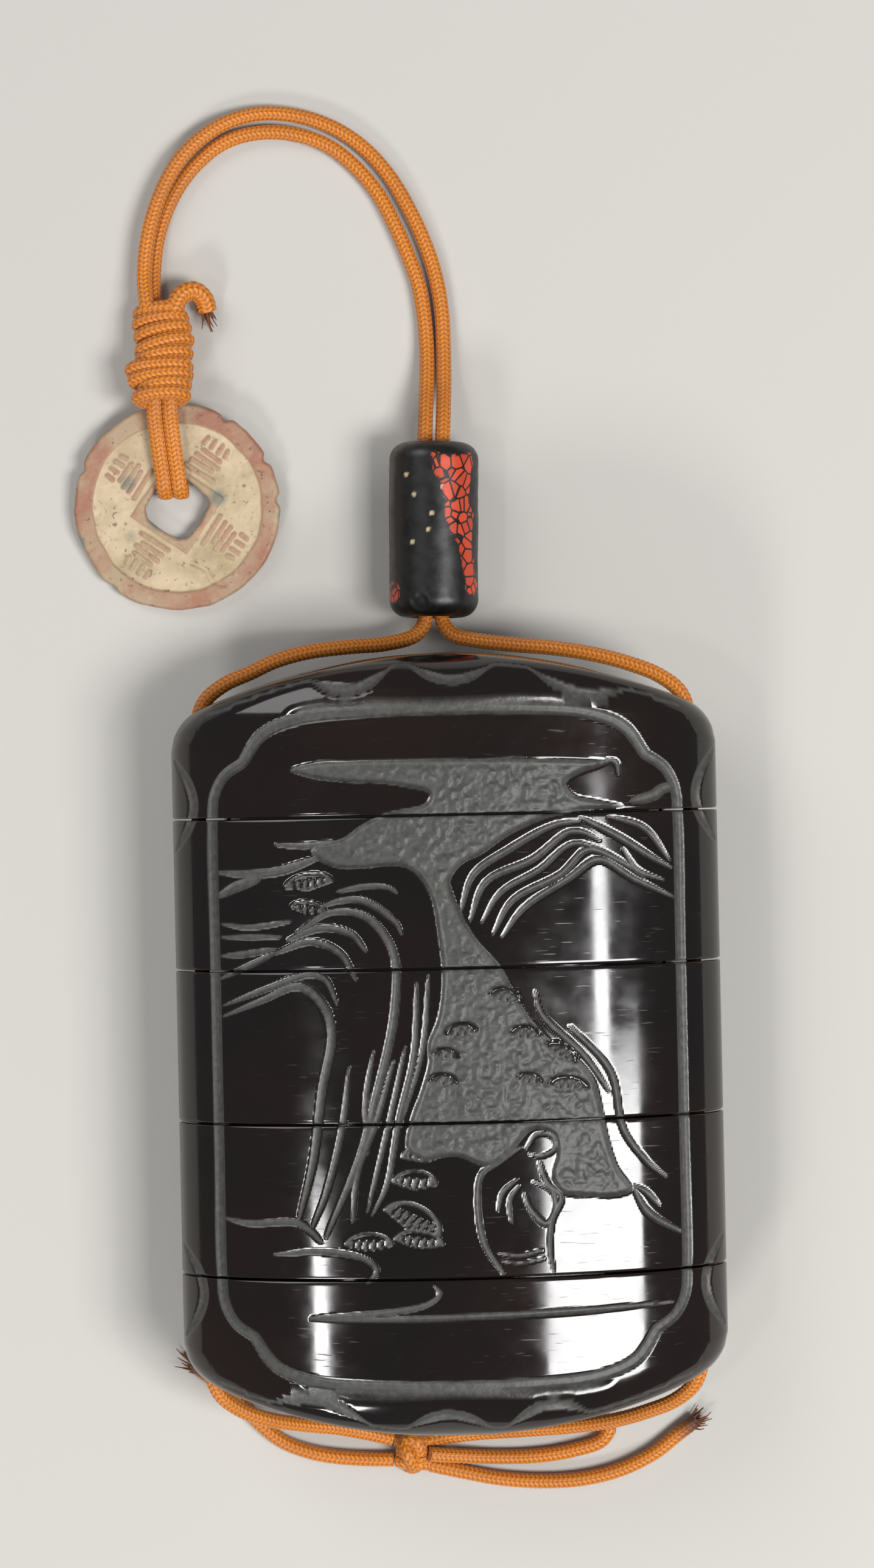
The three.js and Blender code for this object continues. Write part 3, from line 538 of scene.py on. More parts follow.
# The sunk ground of mist and ravine, from the lid down to the traveller.
MIST = [
    (-17, 30.9), (-14.7, 31.6), (-10.5, 31.8), (-2.9, 31.8), (6.2, 31.7), (14.6, 31.4),
    (18.4, 31.1), (17.2, 30.5), (15, 29.8), (13.5, 28.8), (14.2, 27.6), (16.7, 26.9), (19.8, 26.1),
    (15.5, 25.7), (11.5, 25), (6.9, 23.1), (3.9, 21.1), (1.8, 20.1), (0.5, 18.4), (0.8, 16.6),
    (2.9, 12.3), (5.8, 8.8), (7.4, 5.6), (9.2, 2.7), (11, 0.7), (13.9, -1.4), (15.7, -3.5),
    (16.6, -6.6), (17.3, -10.2), (18.3, -13.6), (19.9, -16.3), (17.8, -17), (14.9, -16.8),
    (12, -16.3), (10.9, -14.2), (11.5, -12), (11.2, -9.9), (8.9, -9.3), (6.4, -11.8),
    (3.9, -13.2), (0.7, -12), (-1.4, -12.1), (-3.1, -12.4), (-5.1, -10.9), (-4.4, -7.5),
    (-3.3, -4.6), (-2.4, -1.7), (-2.5, 0.4), (-1.3, 3.3), (-0.7, 8.3), (-1.1, 12.8), (-1.8, 16.6),
    (-2.8, 18.5), (-4.3, 19.8), (-6.5, 20.1), (-9.5, 19.9), (-12, 20), (-14.4, 21.1),
    (-14.9, 22), (-14.2, 22.7), (-11.5, 23.2), (-9.4, 24.6), (-6.4, 26), (-2, 27),
    (-1.7, 27.9), (-4.4, 28.7), (-7.4, 29.2), (-10.6, 29.4), (-14.7, 30),
]
# Clumps of leaves as (x, y), width, height and turn in degrees. Those in the ravine stand proud.
RAVINE_LEAVES = [
    ((6.1, 5.3), 3.9, 1.3, -16), ((1.3, 1.6), 4.0, 1.3, 4), ((-0.5, -0.9), 3.4, 1.0, -10),
    ((-0.8, -3.8), 3.6, 1.2, -8), ((8.3, 1.2), 3.9, 1.2, -6), ((12.2, -1.0), 4.4, 1.2, -34),
    ((8.7, -3.8), 3.2, 1.0, -12), ((13.0, -4.6), 5.0, 1.3, -8),
]
BANK_LEAVES = [
    ((-3.0, -11.9), 5.4, 1.7, 4), ((-4.2, -14.9), 5.2, 1.7, -4), ((-4.6, -19.2), 7.2, 2.3, -26),
    ((-9.4, -21.6), 5.6, 1.5, 0), ((-3.9, -21.4), 5.8, 1.6, -8), ((-15.2, 18.2), 5.6, 1.3, 8),
    ((-15.3, 15.4), 4.2, 1.0, -10),
]
# A quarter of the panel's frame, from the middle of its top to its side.
FRAME_CROWN = [(0, 37.3), (9, 37.1), (16, 36.5), (20, 34.9), (22.3, 31.8)]
FRAME_SHOULDER = [(22.3, 31.8), (24.4, 30.4), (25.6, 28.2), (25.9, 25), (25.9, 12), (25.9, 0)]
FRAME_WIDTH = 1.2

# The back: far hills over mist and water.
BACK_LINES = [
    (1.0, [(-25.6, 8), (-20, 13), (-15, 18.6), (-11, 15), (-4, 4)]),
    (0.7, [(-25.6, 3), (-15.4, 12.4), (-11.5, 8)]),
    (0.6, [(-19, 7), (-15.2, 10), (-12.4, 6.5)]),
    (1.0, [(25.6, -4), (20, 0), (15, 5.5), (4.5, -4)]),
    (0.7, [(25.6, -9), (15, -0.4), (11, -4)]),
    (0.8, [(-25.6, -15), (-12, -14.2), (-5, -15.4)]),
    (0.6, [(-22, -17.4), (-14, -16.8), (-9, -17.6)]),
    (0.8, [(-4, -25), (10, -24), (25.6, -24.6)]),
    (0.6, [(4, -27), (14, -26.4), (22, -27)]),
]
BACK_MIST = [
    (-21, 27.2), (-12, 29.4), (2, 29), (9, 31), (19, 30.4), (14, 27.8), (20, 26.4), (6, 24.6),
    (-4, 26), (-12, 24.8),
]

# The scalloped edge where the faces turn into the ends and the sides.
END_LOBES = [(-10, 4.6, 2.1), (1, 4.8, 2.0), (15, 5.6, 1.9)]     # x, half width and dip
SIDE_LOBE = (27.2, 5.2, 2.3)                                    # y, half width and dip
END_MARGIN = 1.35
END_REACH = 27
SIDE_LINE = 30.4
SCALLOP_WIDTH = 1.5
FULL_STROKE = 0.7        # a narrower cut line is shallower as well


def cut(depth, matt, where, amount, polish=1.0):
    """Deepens the carving at some places, where it isn't deeper already."""
    depth[where] = np.maximum(depth[where], amount)
    matt[where] = np.maximum(matt[where], polish)


def cut_line(depth, matt, places, points, width, deep, closed=False, tip=0.25):
    """A gouge stroke: round at the bottom and drawn thin at its ends."""
    line = curve_through(points, closed)
    where, off, along = near_line(places, line, width / 2 + 0.1)
    swell = 1.0 if closed else tip + (1 - tip) * np.sin(math.pi * along) ** 0.5
    half = width / 2 * swell
    share = np.clip(off / half, 0, 1)
    cut(depth, matt, where, deep * swell * (1 - share ** 2.4), eased(half - off, -0.06, 0.1))


def leaf_clump(depth, matt, places, leaf, deep, proud):
    """A clump of leaves: an arch over a comb of upright points. A proud one stands out of the
    sunk ground with a polished crest. Any other is a cut arch over a row of slots."""
    (mx, my), width, height, turn = leaf
    c, s = math.cos(math.radians(turn)), math.sin(math.radians(turn))
    shifted = places - [mx, my]
    near = np.nonzero(np.abs(shifted).max(axis=1) < width)[0]
    x, y = shifted[near].T
    across = c * x + s * y
    up = c * y - s * x
    reach = np.hypot(2 * across / width, np.maximum(up, 0) / height)
    reach += np.maximum(-up, 0) / height * 2.5
    body = eased(1 - reach, 0, 0.1)
    crest = body * eased(reach, 0.55, 0.72) * (up > 0)
    count = max(round(width / 0.8), 3)
    phase = ((across - 0.22 * up) / width + 0.5) * count % 1
    if proud:
        point = height * 0.78 * (1 - np.abs(2 * phase - 1) / 0.72)
        comb = eased(point - up, -0.05, 0.12) * body * (1 - crest)
        amount = deep * (1 - 0.92 * crest - 0.5 * comb + 0.15 * body * (1 - crest) * (1 - comb))
        polish = 1 - 0.95 * crest
        inside_clump = body > 0
        depth[near[inside_clump]] = amount[inside_clump]
        matt[near[inside_clump]] = polish[inside_clump]
    else:
        rim = body * eased(reach, 0.76, 0.84)
        slot = body * eased(0.42 * height - up, 0, 0.12) * eased(np.abs(2 * phase - 1), 0.35, 0.6)
        shown = np.maximum(rim, slot)
        cut(depth, matt, near, deep * 0.55 * shown, shown)


def panel_frame():
    """The closed line of the panel's frame, made of four mirrored quarters."""
    quarter = np.vstack([curve_through(FRAME_CROWN)[:-1], curve_through(FRAME_SHOULDER)[:-1]])
    right = np.vstack([quarter, (quarter * [1, -1])[::-1]])
    return np.vstack([right, (right * [-1, 1])[::-1], right[:1]])


def cut_frame(depth, matt, places, deep):
    """The band of the panel's frame, which slopes in from both edges and is a little wider at the
    top and bottom of the panel."""
    where, off, _ = near_line(places, panel_frame(), FRAME_WIDTH)
    half = FRAME_WIDTH / 2 * (1 + 0.15 * eased(np.abs(places[where, 1]), 31, 35))
    bevel = eased(half - off, -0.02, 0.32)
    cut(depth, matt, where, deep * bevel, eased(half - off, -0.06, 0.1))


def cut_ground(depth, matt, places, outline, deep):
    """A sunk ground with a smooth slope at its edge and small hammered lumps in its middle."""
    line = curve_through(outline, closed=True, per_span=5)
    outside_box = (places < line.min(axis=0)) | (places > line.max(axis=0))
    found = np.nonzero(~outside_box.any(axis=1))[0]
    found = found[inside(places[found], line)]
    near = places[found]
    edge = np.full(len(near), 3.0)
    where, off, _ = near_line(near, line, 3.0)
    edge[where] = off
    lump = np.maximum(lumps(near, 0.72, 1), lumps(near + 0.31, 0.72, 2))
    rough = eased(edge, 0.5, 1.3) * (0.16 * eased(lump, 0.1, 0.75) + 0.05 * lumps(near, 0.36, 4))
    amount = deep * eased(edge, -0.1, 0.55) - rough + 0.05 * lumps(near, 2.6, 3)
    cut(depth, matt, found, amount, eased(edge, -0.05, 0.12))


def scallop_lines():
    """The grooves of the scalloped edge on both faces, each with its width along it. They are
    broad crescents at the bottom of a lobe and almost vanish between two lobes."""
    lines = []
    for sign in (1, -1):
        x = np.linspace(-END_REACH, END_REACH, 90)
        dip = np.zeros_like(x)
        for middle, half, deep in END_LOBES:
            off = x * sign - middle
            dip += np.where(np.abs(off) < half, deep * np.cos(math.pi * off / (2 * half)), 0)
        y = HALF_LENGTH - x ** 2 / (2 * CROWN_RADIUS) - END_MARGIN - dip
        lines.append((x, y, sign, 0.3 + 0.7 * eased(dip, 0.2, 1.8)))
        middle, half, deep = SIDE_LOBE
        y = np.linspace(middle - half, middle + half, 24)
        x = SIDE_LINE - deep * np.cos(math.pi * (y - middle) / (2 * half))
        swell = np.sin(np.linspace(0, math.pi, len(y))) ** 0.5
        lines.append((x, y, sign, swell))
        lines.append((-x, y, sign, swell))
    drawn = []
    for x, y, sign, swell in lines:
        z = skin_height(np.abs(x), y)
        for side in (1, -1):
            drawn.append((np.stack([x, sign * y, side * z], axis=1), swell))
    return drawn


def carve(points, look):
    """How deep each point of the skin is cut, and how matt the cut leaves it."""
    depth = np.zeros(len(points))
    matt = np.zeros(len(points))
    deep = look.carving / MM
    line_deep = look.stroke / MM
    for is_front in (True, False):
        side = np.nonzero((points[:, 2] > 0) == is_front)[0]
        places = points[side, :2]
        d = np.zeros(len(side))
        m = np.zeros(len(side))
        cut_frame(d, m, places, line_deep)
        if is_front:
            cut_ground(d, m, places, MIST, deep)
            for leaf in RAVINE_LEAVES:
                leaf_clump(d, m, places, leaf, deep, proud=True)
            for width, line in CLIFF_LINES + GROUND_LINES + FIGURE_LINES:
                cut_line(d, m, places, line, width, line_deep * min(1, width / FULL_STROKE))
            for leaf in BANK_LEAVES:
                leaf_clump(d, m, places, leaf, deep, proud=False)
        else:
            cut_ground(d, m, places, BACK_MIST, deep)
            for width, line in BACK_LINES:
                cut_line(d, m, places, line, width, line_deep * min(1, width / FULL_STROKE))
        depth[side] = d
        matt[side] = m
    for line, swell in scallop_lines():
        where, off, along = near_line(points, line, SCALLOP_WIDTH / 2)
        half = SCALLOP_WIDTH / 2 * np.interp(along * (len(line) - 1), np.arange(len(line)), swell)
        share = off / np.maximum(half, 0.05)
        groove = deep * half * np.clip(1 - share ** 2, 0, 1)
        cut(depth, matt, where, groove, eased(1 - share, 0, 0.2))
    return depth, matt


def around(look):
    """Angles round the cross-section: close together on the front and wider on the back."""
    angle = np.linspace(0, 2 * math.pi, 4001)
    x = HALF_WIDTH * np.cos(angle)
    z = HALF_DEPTH * np.sin(angle)
    along = np.concatenate([[0], np.cumsum(np.hypot(np.diff(x), np.diff(z)))])
    half = along[-1] / 2
    fine = look.fine / MM
    front = np.linspace(0, half, int(half / fine), endpoint=False)
    back = np.linspace(half, 2 * half, int(half / fine / 2.1) + 1)
    return np.interp(np.concatenate([front, back]), along, angle)


def ring(size, level, angle, share=1.0):
    """One ring of a section's inside, flat at a level."""
    x = size["half_width"] * share * np.cos(angle)
    z = size["half_depth"] * share * np.sin(angle)
    return np.stack([x, np.full_like(x, level), z], axis=1)


def crown_ring(share, angle, sign, inset=0.0, size=None):
    """One ring on a rounded end, or on the inside of it where inset is given."""
    size = size or {"half_width": HALF_WIDTH, "half_depth": HALF_DEPTH}
    x = size["half_width"] * share * np.cos(angle)
    z = size["half_depth"] * share * np.sin(angle)
    return np.stack([x, sign * crown(x, z, inset), z], axis=1)


def skin_rows(bottom, top, angle, look):
    """Rings of the outer skin from top down to bottom. Each level is a number, or the word crown
    for the edge of a rounded end. Rims at a seam are rounded over by extra rows."""
    x = HALF_WIDTH * np.cos(angle)
    z = HALF_DEPTH * np.sin(angle)
    high = crown(x, z) if top == "crown" else np.full_like(x, top)
    low = -crown(x, z) if bottom == "crown" else np.full_like(x, bottom)
    edge = look.edge / MM
    count = int((high - low).mean() / (look.fine / MM))
    share = np.linspace(0, 1, count)
    rows = np.stack([np.stack([x, high + (low - high) * s, z], axis=1) for s in share])
    near = [edge * s for s in (0, 0.1, 0.3, 0.6)]
    if top != "crown":
        extra = [np.stack([x, high - d, z], axis=1) for d in near]
        rows = np.concatenate([np.stack(extra), rows[2:]])
    if bottom != "crown":
        extra = [np.stack([x, low + d, z], axis=1) for d in near[::-1]]
        rows = np.concatenate([rows[:-2], np.stack(extra)])
    return rows


def outward(rows):
    """Unit normals of a block of rings that runs down, pointing out of the body."""
    across = np.empty_like(rows)
    across[:, 1:-1] = rows[:, 2:] - rows[:, :-2]
    across[:, 0] = across[:, -1] = rows[:, 1] - rows[:, -2]
    down = np.gradient(rows, axis=0)
    normals = np.cross(across, down)
    return normals / np.maximum(np.linalg.norm(normals, axis=2, keepdims=True), 1e-9)


def section_piece(index, look, material):
    """One section of the case: its inside, its carved skin and its rims as one closed sheet."""
    name = SECTIONS[index]
    is_lid = index == 0
    is_last = index == len(SECTIONS) - 1
    gap = look.seam / MM / 2
    edge = look.edge / MM
    top = "crown" if is_lid else SEAMS[index - 1] - gap
    bottom = "crown" if is_last else SEAMS[index] + gap
    angle = around(look)
    rim = {"half_width": HALF_WIDTH - edge, "half_depth": HALF_DEPTH - edge}
    inner = []
    if not is_lid:
        if is_last:
            shares = (0, 0.3, 0.6, 0.85, 0.97, 1)
            inner += [crown_ring(s, angle, -1, END_WALL, STORAGE) for s in shares]
        else:
            level = bottom + RECESS["height"] + FLOOR_THICKNESS
            inner += [ring(STORAGE, level, angle, s) for s in (0, 0.5, 0.99, 1)]
        peak = top + RISER["height"]
        inner += [ring(STORAGE, peak - 0.15, angle), ring(STORAGE, peak, angle, 1.005),
                  ring(RISER, peak, angle, 0.995), ring(RISER, peak - 0.15, angle),
                  ring(RISER, top, angle), ring(rim, top, angle, 0.99)]
    else:
        inner += [crown_ring(s, angle, 1) for s in np.linspace(0, 0.5, 12, endpoint=False)]
    shoulder = np.linspace(0.5, 1, 46)
    skin = skin_rows(bottom, top, angle, look)
    if is_lid:
        skin = np.concatenate([np.stack([crown_ring(s, angle, 1) for s in shoulder[:-1]]), skin])
    if is_last:
        lower = np.stack([crown_ring(s, angle, -1) for s in shoulder[::-1][1:]])
        skin = np.concatenate([skin, lower])
    after = []
    if is_last:
        after += [crown_ring(s, angle, -1) for s in np.linspace(0.5, 0, 13)[1:]]
    else:
        after += [ring(rim, bottom, angle, 0.99), ring(RECESS, bottom, angle, 1.003),
                  ring(RECESS, bottom + 0.15, angle)]
        if is_lid:
            after += [crown_ring(s, angle, 1, END_WALL, RECESS) for s in (1, 0.9, 0.6, 0.3, 0)]
        else:
            ceiling = bottom + RECESS["height"]
            after += [ring(RECESS, ceiling, angle, s) for s in (1, 0.99, 0.5, 0)]

    flat = skin.reshape(-1, 3)
    depth, matt = carve(flat, look)
    for level, is_cut in ((top, not is_lid), (bottom, not is_last)):
        if is_cut:
            off = np.clip(1 - np.abs(flat[:, 1] - level) / edge, 0, 1)
            depth += edge * (1 - np.sqrt(1 - off ** 2))
    end = np.abs(flat[:, 1]) > MOUTH_FROM
    off = np.hypot(np.abs(flat[:, 0]) - CHANNEL_X, flat[:, 2])
    hole = eased(MOUTH_RADIUS - off, -0.1, 0.25) * end
    carved = flat - outward(skin).reshape(-1, 3) * depth[:, None]
    carved[:, 1] -= np.sign(flat[:, 1]) * MOUTH_DEPTH * hole * (is_lid or is_last)
    matt = np.maximum(matt, hole)
    points = np.concatenate([np.stack(inner), carved.reshape(skin.shape), np.stack(after)])
    points[:, :, 2] = np.maximum(points[:, :, 2] + AXIS_HEIGHT, 0)
    points[:, -1] = points[:, 0]
    mattness = np.zeros(points.shape[:2])
    mattness[len(inner):len(inner) + len(skin)] = matt.reshape(skin.shape[:2])
    return finished(rolled(name + "_lacquer", points, {"cut": mattness}), material, "lacquer", name)


# ---------------------------------------------------------------------------------------------
# The cord. Its routes are those of the CAD tubes, but their ends run on into the knots.

def through_case(x):
    return [(x, y, AXIS_HEIGHT) for y in (33, 22, 11, 0, -11, -22, -33)]


def upper_mouth(side):
    return [(side * 21.6, 42, 11.8), (side * 24.6, 40.7, 12), (side * 26.8, 38.9, 12),
            (side * 27.7, 36.4, 12)]


def lower_mouth(side):
    return [(side * 27.7, -36.6, 11.9), (side * 26.9, -39.3, 11.2), (side * 24.8, -41.4, 9.7),
            (side * 21.8, -42.9, 7.8)]


ROUTE_LEFT = [
    (-32, 83.3, 2.4),
    (-32.2, 84.9, 1.8), (-32.3, 88.5, 1), (-31.7, 93, FLOOR_LINE), (-29.9, 97.6, FLOOR_LINE),
    (-27.1, 101.3, FLOOR_LINE), (-23.7, 103.8, FLOOR_LINE), (-19.6, 104.8, FLOOR_LINE),
    (-15.6, 104.5, FLOOR_LINE), (-11.8, 103.1, FLOOR_LINE), (-8.8, 100.7, FLOOR_LINE),
    (-6.2, 97.5, FLOOR_LINE), (-4.4, 94, FLOOR_LINE), (-2.9, 90.4, FLOOR_LINE),
    (-1.7, 86.8, FLOOR_LINE), (-1.1, 82.8, 0.95), (-0.9, 79, 1.3), (-1, 75, 2.4), (-1.2, 71.5, 4),
    (-1.38, 67, 5.15), (-1.58, 58, 5.15), (-1.75, 49.6, 5.15), (-1.8, 47.6, 5.2),
    (-2.9, 46.1, 5.7), (-6.4, 45.1, 7.4), (-10.4, 44.8, 8.9), (-15.4, 44.2, 10.4),
    (-19, 43.2, 11.3), *upper_mouth(-1), *through_case(-CHANNEL_X), *lower_mouth(-1),
    (-18.2, -44, 5.2), (-14, -44.9, 2.8), (-10.6, -45.8, 1.3), (-7.5, -46.6, 1),
]
ROUTE_RIGHT = [
    (-32.6, 83.3, 3.6), (-33, 84.9, 3.5), (-33.3, 88.5, 2.6), (-32.7, 93.2, 2.5), (-31.1, 98, 2.3),
    (-28.5, 102.2, 2.1), (-24.6, 105.4, 1.6), (-20.2, 106.9, 1.1), (-15.6, 106.7, FLOOR_LINE),
    (-11.2, 105.2, FLOOR_LINE), (-7.6, 102.7, FLOOR_LINE), (-4.7, 99.3, FLOOR_LINE),
    (-2.6, 95.6, FLOOR_LINE), (-1, 92, FLOOR_LINE), (0.2, 88.2, FLOOR_LINE), (0.9, 84, 0.95),
    (1.05, 79.5, 1.3), (1, 75, 2.4), (0.85, 71.5, 4), (0.62, 67, 5.15), (0.42, 58, 5.15),
    (0.21, 49.6, 5.15), (0.24, 47.6, 5.2), (1.4, 46.1, 5.7), (3.6, 45.4, 6.6), (8, 44.7, 8.3),
    (13, 44.1, 9.9), (17.6, 43.2, 11.1), *upper_mouth(1), *through_case(CHANNEL_X),
    *lower_mouth(1), (18, -44.3, 5.4), (13, -45.3, 2.9), (8, -45.8, 1.5), (3, -46.1, 1),
    (-1.2, -46.5, 0.95), (-3.4, -46.9, 1),
]
ROUTE_TAIL_LEFT = [
    (-7.5, -49, 1), (-12, -48.8, FLOOR_LINE), (-16.2, -48.2, FLOOR_LINE), (-20, -46.8, FLOOR_LINE),
    (-22.8, -44.6, FLOOR_LINE), (-25.2, -41.8, FLOOR_LINE), (-28, -39.4, FLOOR_LINE),
    (-30.6, -37.4, FLOOR_LINE),
]
ROUTE_TAIL_RIGHT = [
    (-3.3, -49.7, 1), (0.5, -50.6, FLOOR_LINE), (5, -51.5, FLOOR_LINE), (10, -51.9, FLOOR_LINE),
    (14.4, -51.7, FLOOR_LINE), (18.8, -50.7, FLOOR_LINE), (22.8, -48.8, FLOOR_LINE),
    (25.4, -46.8, FLOOR_LINE), (27.6, -45.2, FLOOR_LINE),
]
ROUTE_LOOP_RIGHT = [
    (-3.3, -48.2, 2.6), (0.5, -48.7, 1.4), (5, -49, FLOOR_LINE), (9.7, -48.9, FLOOR_LINE),
    (13.6, -48.3, FLOOR_LINE), (16.6, -47.3, FLOOR_LINE), (17.5, -45.7, FLOOR_LINE),
    (16.2, -44.3, FLOOR_LINE), (13, -43.9, FLOOR_LINE), (8, -43.6, FLOOR_LINE),
]
ROUTE_KNOT_END = [
    (-30.9, 82, 3.4), (-29.9, 84.4, 3.4), (-28.9, 86, 3.2), (-27.6, 86.4, 2.8),
    (-26.6, 85.6, 2.3), (-26.2, 84.2, 1.8),
]


def through_coin(shift):
    """One strand over the coin's upper face, down its hole and back beneath it."""
    points = [
        (-31.4, 74.9, 5.6),
        (-31.4, 72.4, 5.1), (-31.3, 70.5, 4.25), (-31, 67.5, 3.7), (-30.7, 65, 3.45),
        (-30.6, 63.7, 3.1), (-30.5, 62.9, 2.1), (-30.5, 63.3, 1), (-30.6, 64.8, 0.58),
        (-30.9, 68, 0.65), (-31.2, 72, 0.85), (-31.3, 74.1, 1.3), (-31.3, 75.2, 1.7),
    ]
    return [(x + shift, y, z) for x, y, z in points]


def frames(line, side=None):
    """Two directions square to a line at each of its points. They turn as little as they can, or
    keep one side level where a side is given."""
    forward = np.gradient(line, axis=0)
    forward /= np.linalg.norm(forward, axis=1, keepdims=True)
    current = np.array(side if side is not None else (0, 0, 1.0), float)
    first = np.empty_like(line)
    for i, direction in enumerate(forward):
        base = np.array(side, float) if side is not None else current
        current = base - direction * (base @ direction)
        current /= np.linalg.norm(current)
        first[i] = current
    return first, np.cross(forward, first)


BRAID_COLUMNS = 30
BRAID_STEP = 0.16
BRAID_ZIGZAGS = 5
THREADS = {"count": 26, "length": 1.9, "radius": 0.13}      # loose threads of a cut end


def braid(name, points, look, thickness=None, side=None, radius=None, age=()):
    """A braided cord along a route, with stitches that zigzag round it in columns. age lists the
    ends, 0 or 1, that are old and dark."""
    radius = radius or look.radius / MM
    flat = (thickness or radius) / radius
    line, along = evenly(curve_through(points), BRAID_STEP)
    first, second = frames(line, side)
    turn = np.linspace(0, 2 * math.pi, BRAID_COLUMNS + 1)
    column = BRAID_ZIGZAGS * turn / (2 * math.pi) % 1
    slope = np.abs(2 * column - 1)
    stitch = np.cos(2 * math.pi * (along[:, None] / (look.pitch / MM) + 0.6 * slope))
    weave_and_shade = 0.5 + 0.5 * stitch - 0.5 * np.abs(np.cos(2 * math.pi * column)) ** 6
    size = radius * (0.96 + 0.09 * weave_and_shade)
    sides = (size * np.cos(turn))[:, :, None] * first[:, None]
    ups = (size * np.sin(turn) * flat)[:, :, None] * second[:, None]
    rings = line[:, None] + sides + ups
    caps = [np.repeat(end[:, None], len(turn), axis=1) for end in (line[:1], line[-1:])]
    rings = np.concatenate([caps[0], rings, caps[1]])
    rings[:, :, 2] = np.maximum(rings[:, :, 2], 0.02)
    # Painted shade between the stitches: the lit share follows the stitch relief and is low where a
    # stitch dives.
    lit = np.pad(eased(weave_and_shade, -0.2, 0.75), ((1, 1), (0, 0)), mode="edge")
    along = np.pad(along, 1, mode="edge")
    old = np.zeros_like(along)
    for end in age:
        old = np.maximum(old, eased(4 - np.abs(along - end * along[-1]), 0, 4))
    sheet_map = np.stack(np.broadcast_arrays(turn / (2 * math.pi), along[:, None]), axis=2)
    piece = rolled(name, rings, {"weave_and_shade": lit, "age": np.repeat(old[:, None], len(turn), axis=1)},
                   sheet_map)
    return piece, line


def fray(name, tip, direction):
    """A tuft of loose threads at a cut end, made one by one and joined into one piece."""
    generator = np.random.default_rng(7)
    base = np.array(direction, float) / np.linalg.norm(direction)
    tufts = []
    for i in range(THREADS["count"]):
        spread = generator.normal(0, 0.32, 3)
        start = np.array(tip) + spread * 0.9 - base * 0.5
        end = start + (base + spread * 0.9) * THREADS["length"] * generator.uniform(0.5, 1)
        middle = (start + end) / 2 + generator.normal(0, 0.15, 3)
        line = curve_through([start, middle, end], per_span=3)
        line[:, 2] = np.maximum(line[:, 2], 0.12)
        first, second = frames(line)
        turn = np.linspace(0, 2 * math.pi, 6)
        size = THREADS["radius"] * np.linspace(1, 0.35, len(line))[:, None]
        rings = line[:, None] + (size * np.cos(turn))[:, :, None] * first[:, None]
        rings += (size * np.sin(turn))[:, :, None] * second[:, None]
        caps = [np.repeat(end[:, None], len(turn), axis=1) for end in (line[:1], line[-1:])]
        rings = np.concatenate([caps[0], rings, caps[1]])
        one = np.ones(rings.shape[:2])
        # A loose thread takes a half painted shade and the dark of the singed end.
        tufts.append(rolled(f"{name}_{i}", rings, {"weave_and_shade": 0.5 * one, "age": 0.8 * one}))
    bpy.ops.object.select_all(action="DESELECT")
    for tuft in tufts:
        tuft.select_set(True)
    bpy.context.view_layer.objects.active = tufts[0]
    bpy.ops.object.join()
    tufts[0].name = name
    return tufts[0]


KNOT = {"middle": (-31.1, 78.6, 4.2), "half_depth": 1.5, "tilt": -18.0}
# The wraps from the coin up: height of the left and right end and how far each end reaches.
KNOT_WRAPS = [
    (-5.0, -4.7, 2.9, 2.3), (-3.8, -3.4, 2.2, 2.4), (-2.8, -2.2, 3.4, 2.6), (-1.5, -1.2, 3.7, 2.6),
    (-0.3, 0.5, 2.5, 2.6), (0.8, 2.2, 2.6, 2.7), (2.6, 3.7, 2.7, 2.4), (4.2, 4.9, 2.9, 2.1),
    (5.5, 5.8, 2.8, 1.6),
]


def wrap_route(left, right, reach_left, reach_right):
    """One wrap of the knot: a slanted oval round the strands."""
    tilt = math.radians(KNOT["tilt"])
    route = []
    for angle in np.linspace(0, 2 * math.pi, 15)[:-1]:
        c, s = math.cos(angle), math.sin(angle)
        x = reach_right * c if c > 0 else reach_left * c
        y = (left + right) / 2 + (right - left) / 2 * c
        z = KNOT["half_depth"] * s
        mx, my, mz = KNOT["middle"]
        route.append((mx + x, my + y * math.cos(tilt) - z * math.sin(tilt),
                      mz + y * math.sin(tilt) + z * math.cos(tilt)))
    return route + route[:1]


def joined(pieces, name):
    """Several meshes as one piece."""
    select_only(pieces[0])
    for piece in pieces[1:]:
        piece.select_set(True)
    bpy.ops.object.join()
    pieces[0].name = name
    pieces[0].data.name = name
    return pieces[0]


# ---------------------------------------------------------------------------------------------
# The bead and the coin.

def placed(points, middle, turn=0.0, tilt=0.0):
    """Points turned about Z and tilted about X, in degrees, and moved to their middle."""
    c, s = math.cos(math.radians(turn)), math.sin(math.radians(turn))
    x = c * points[..., 0] - s * points[..., 1]
    y = s * points[..., 0] + c * points[..., 1]
    z = points[..., 2]
    c, s = math.cos(math.radians(tilt)), math.sin(math.radians(tilt))
    return np.stack([x, c * y - s * z, s * y + c * z], axis=-1) + np.array(middle)


BEAD_COLUMNS = 181
BEAD_CHIP = (-1.5, -8.6, 4.9)
ENAMEL_SPOTS = [(3.6, 7.2, 0.9), (-4.6, -7.2, 0.8), (4.3, -6.4, 0.7)]      # x, y and size
CREAM_FLECKS = [(-0.2, 1.6), (-2.2, 3.8), (-2.4, -1.6), (-0.6, -0.2), (-3.1, 6.1), (1.0, 4.6)]


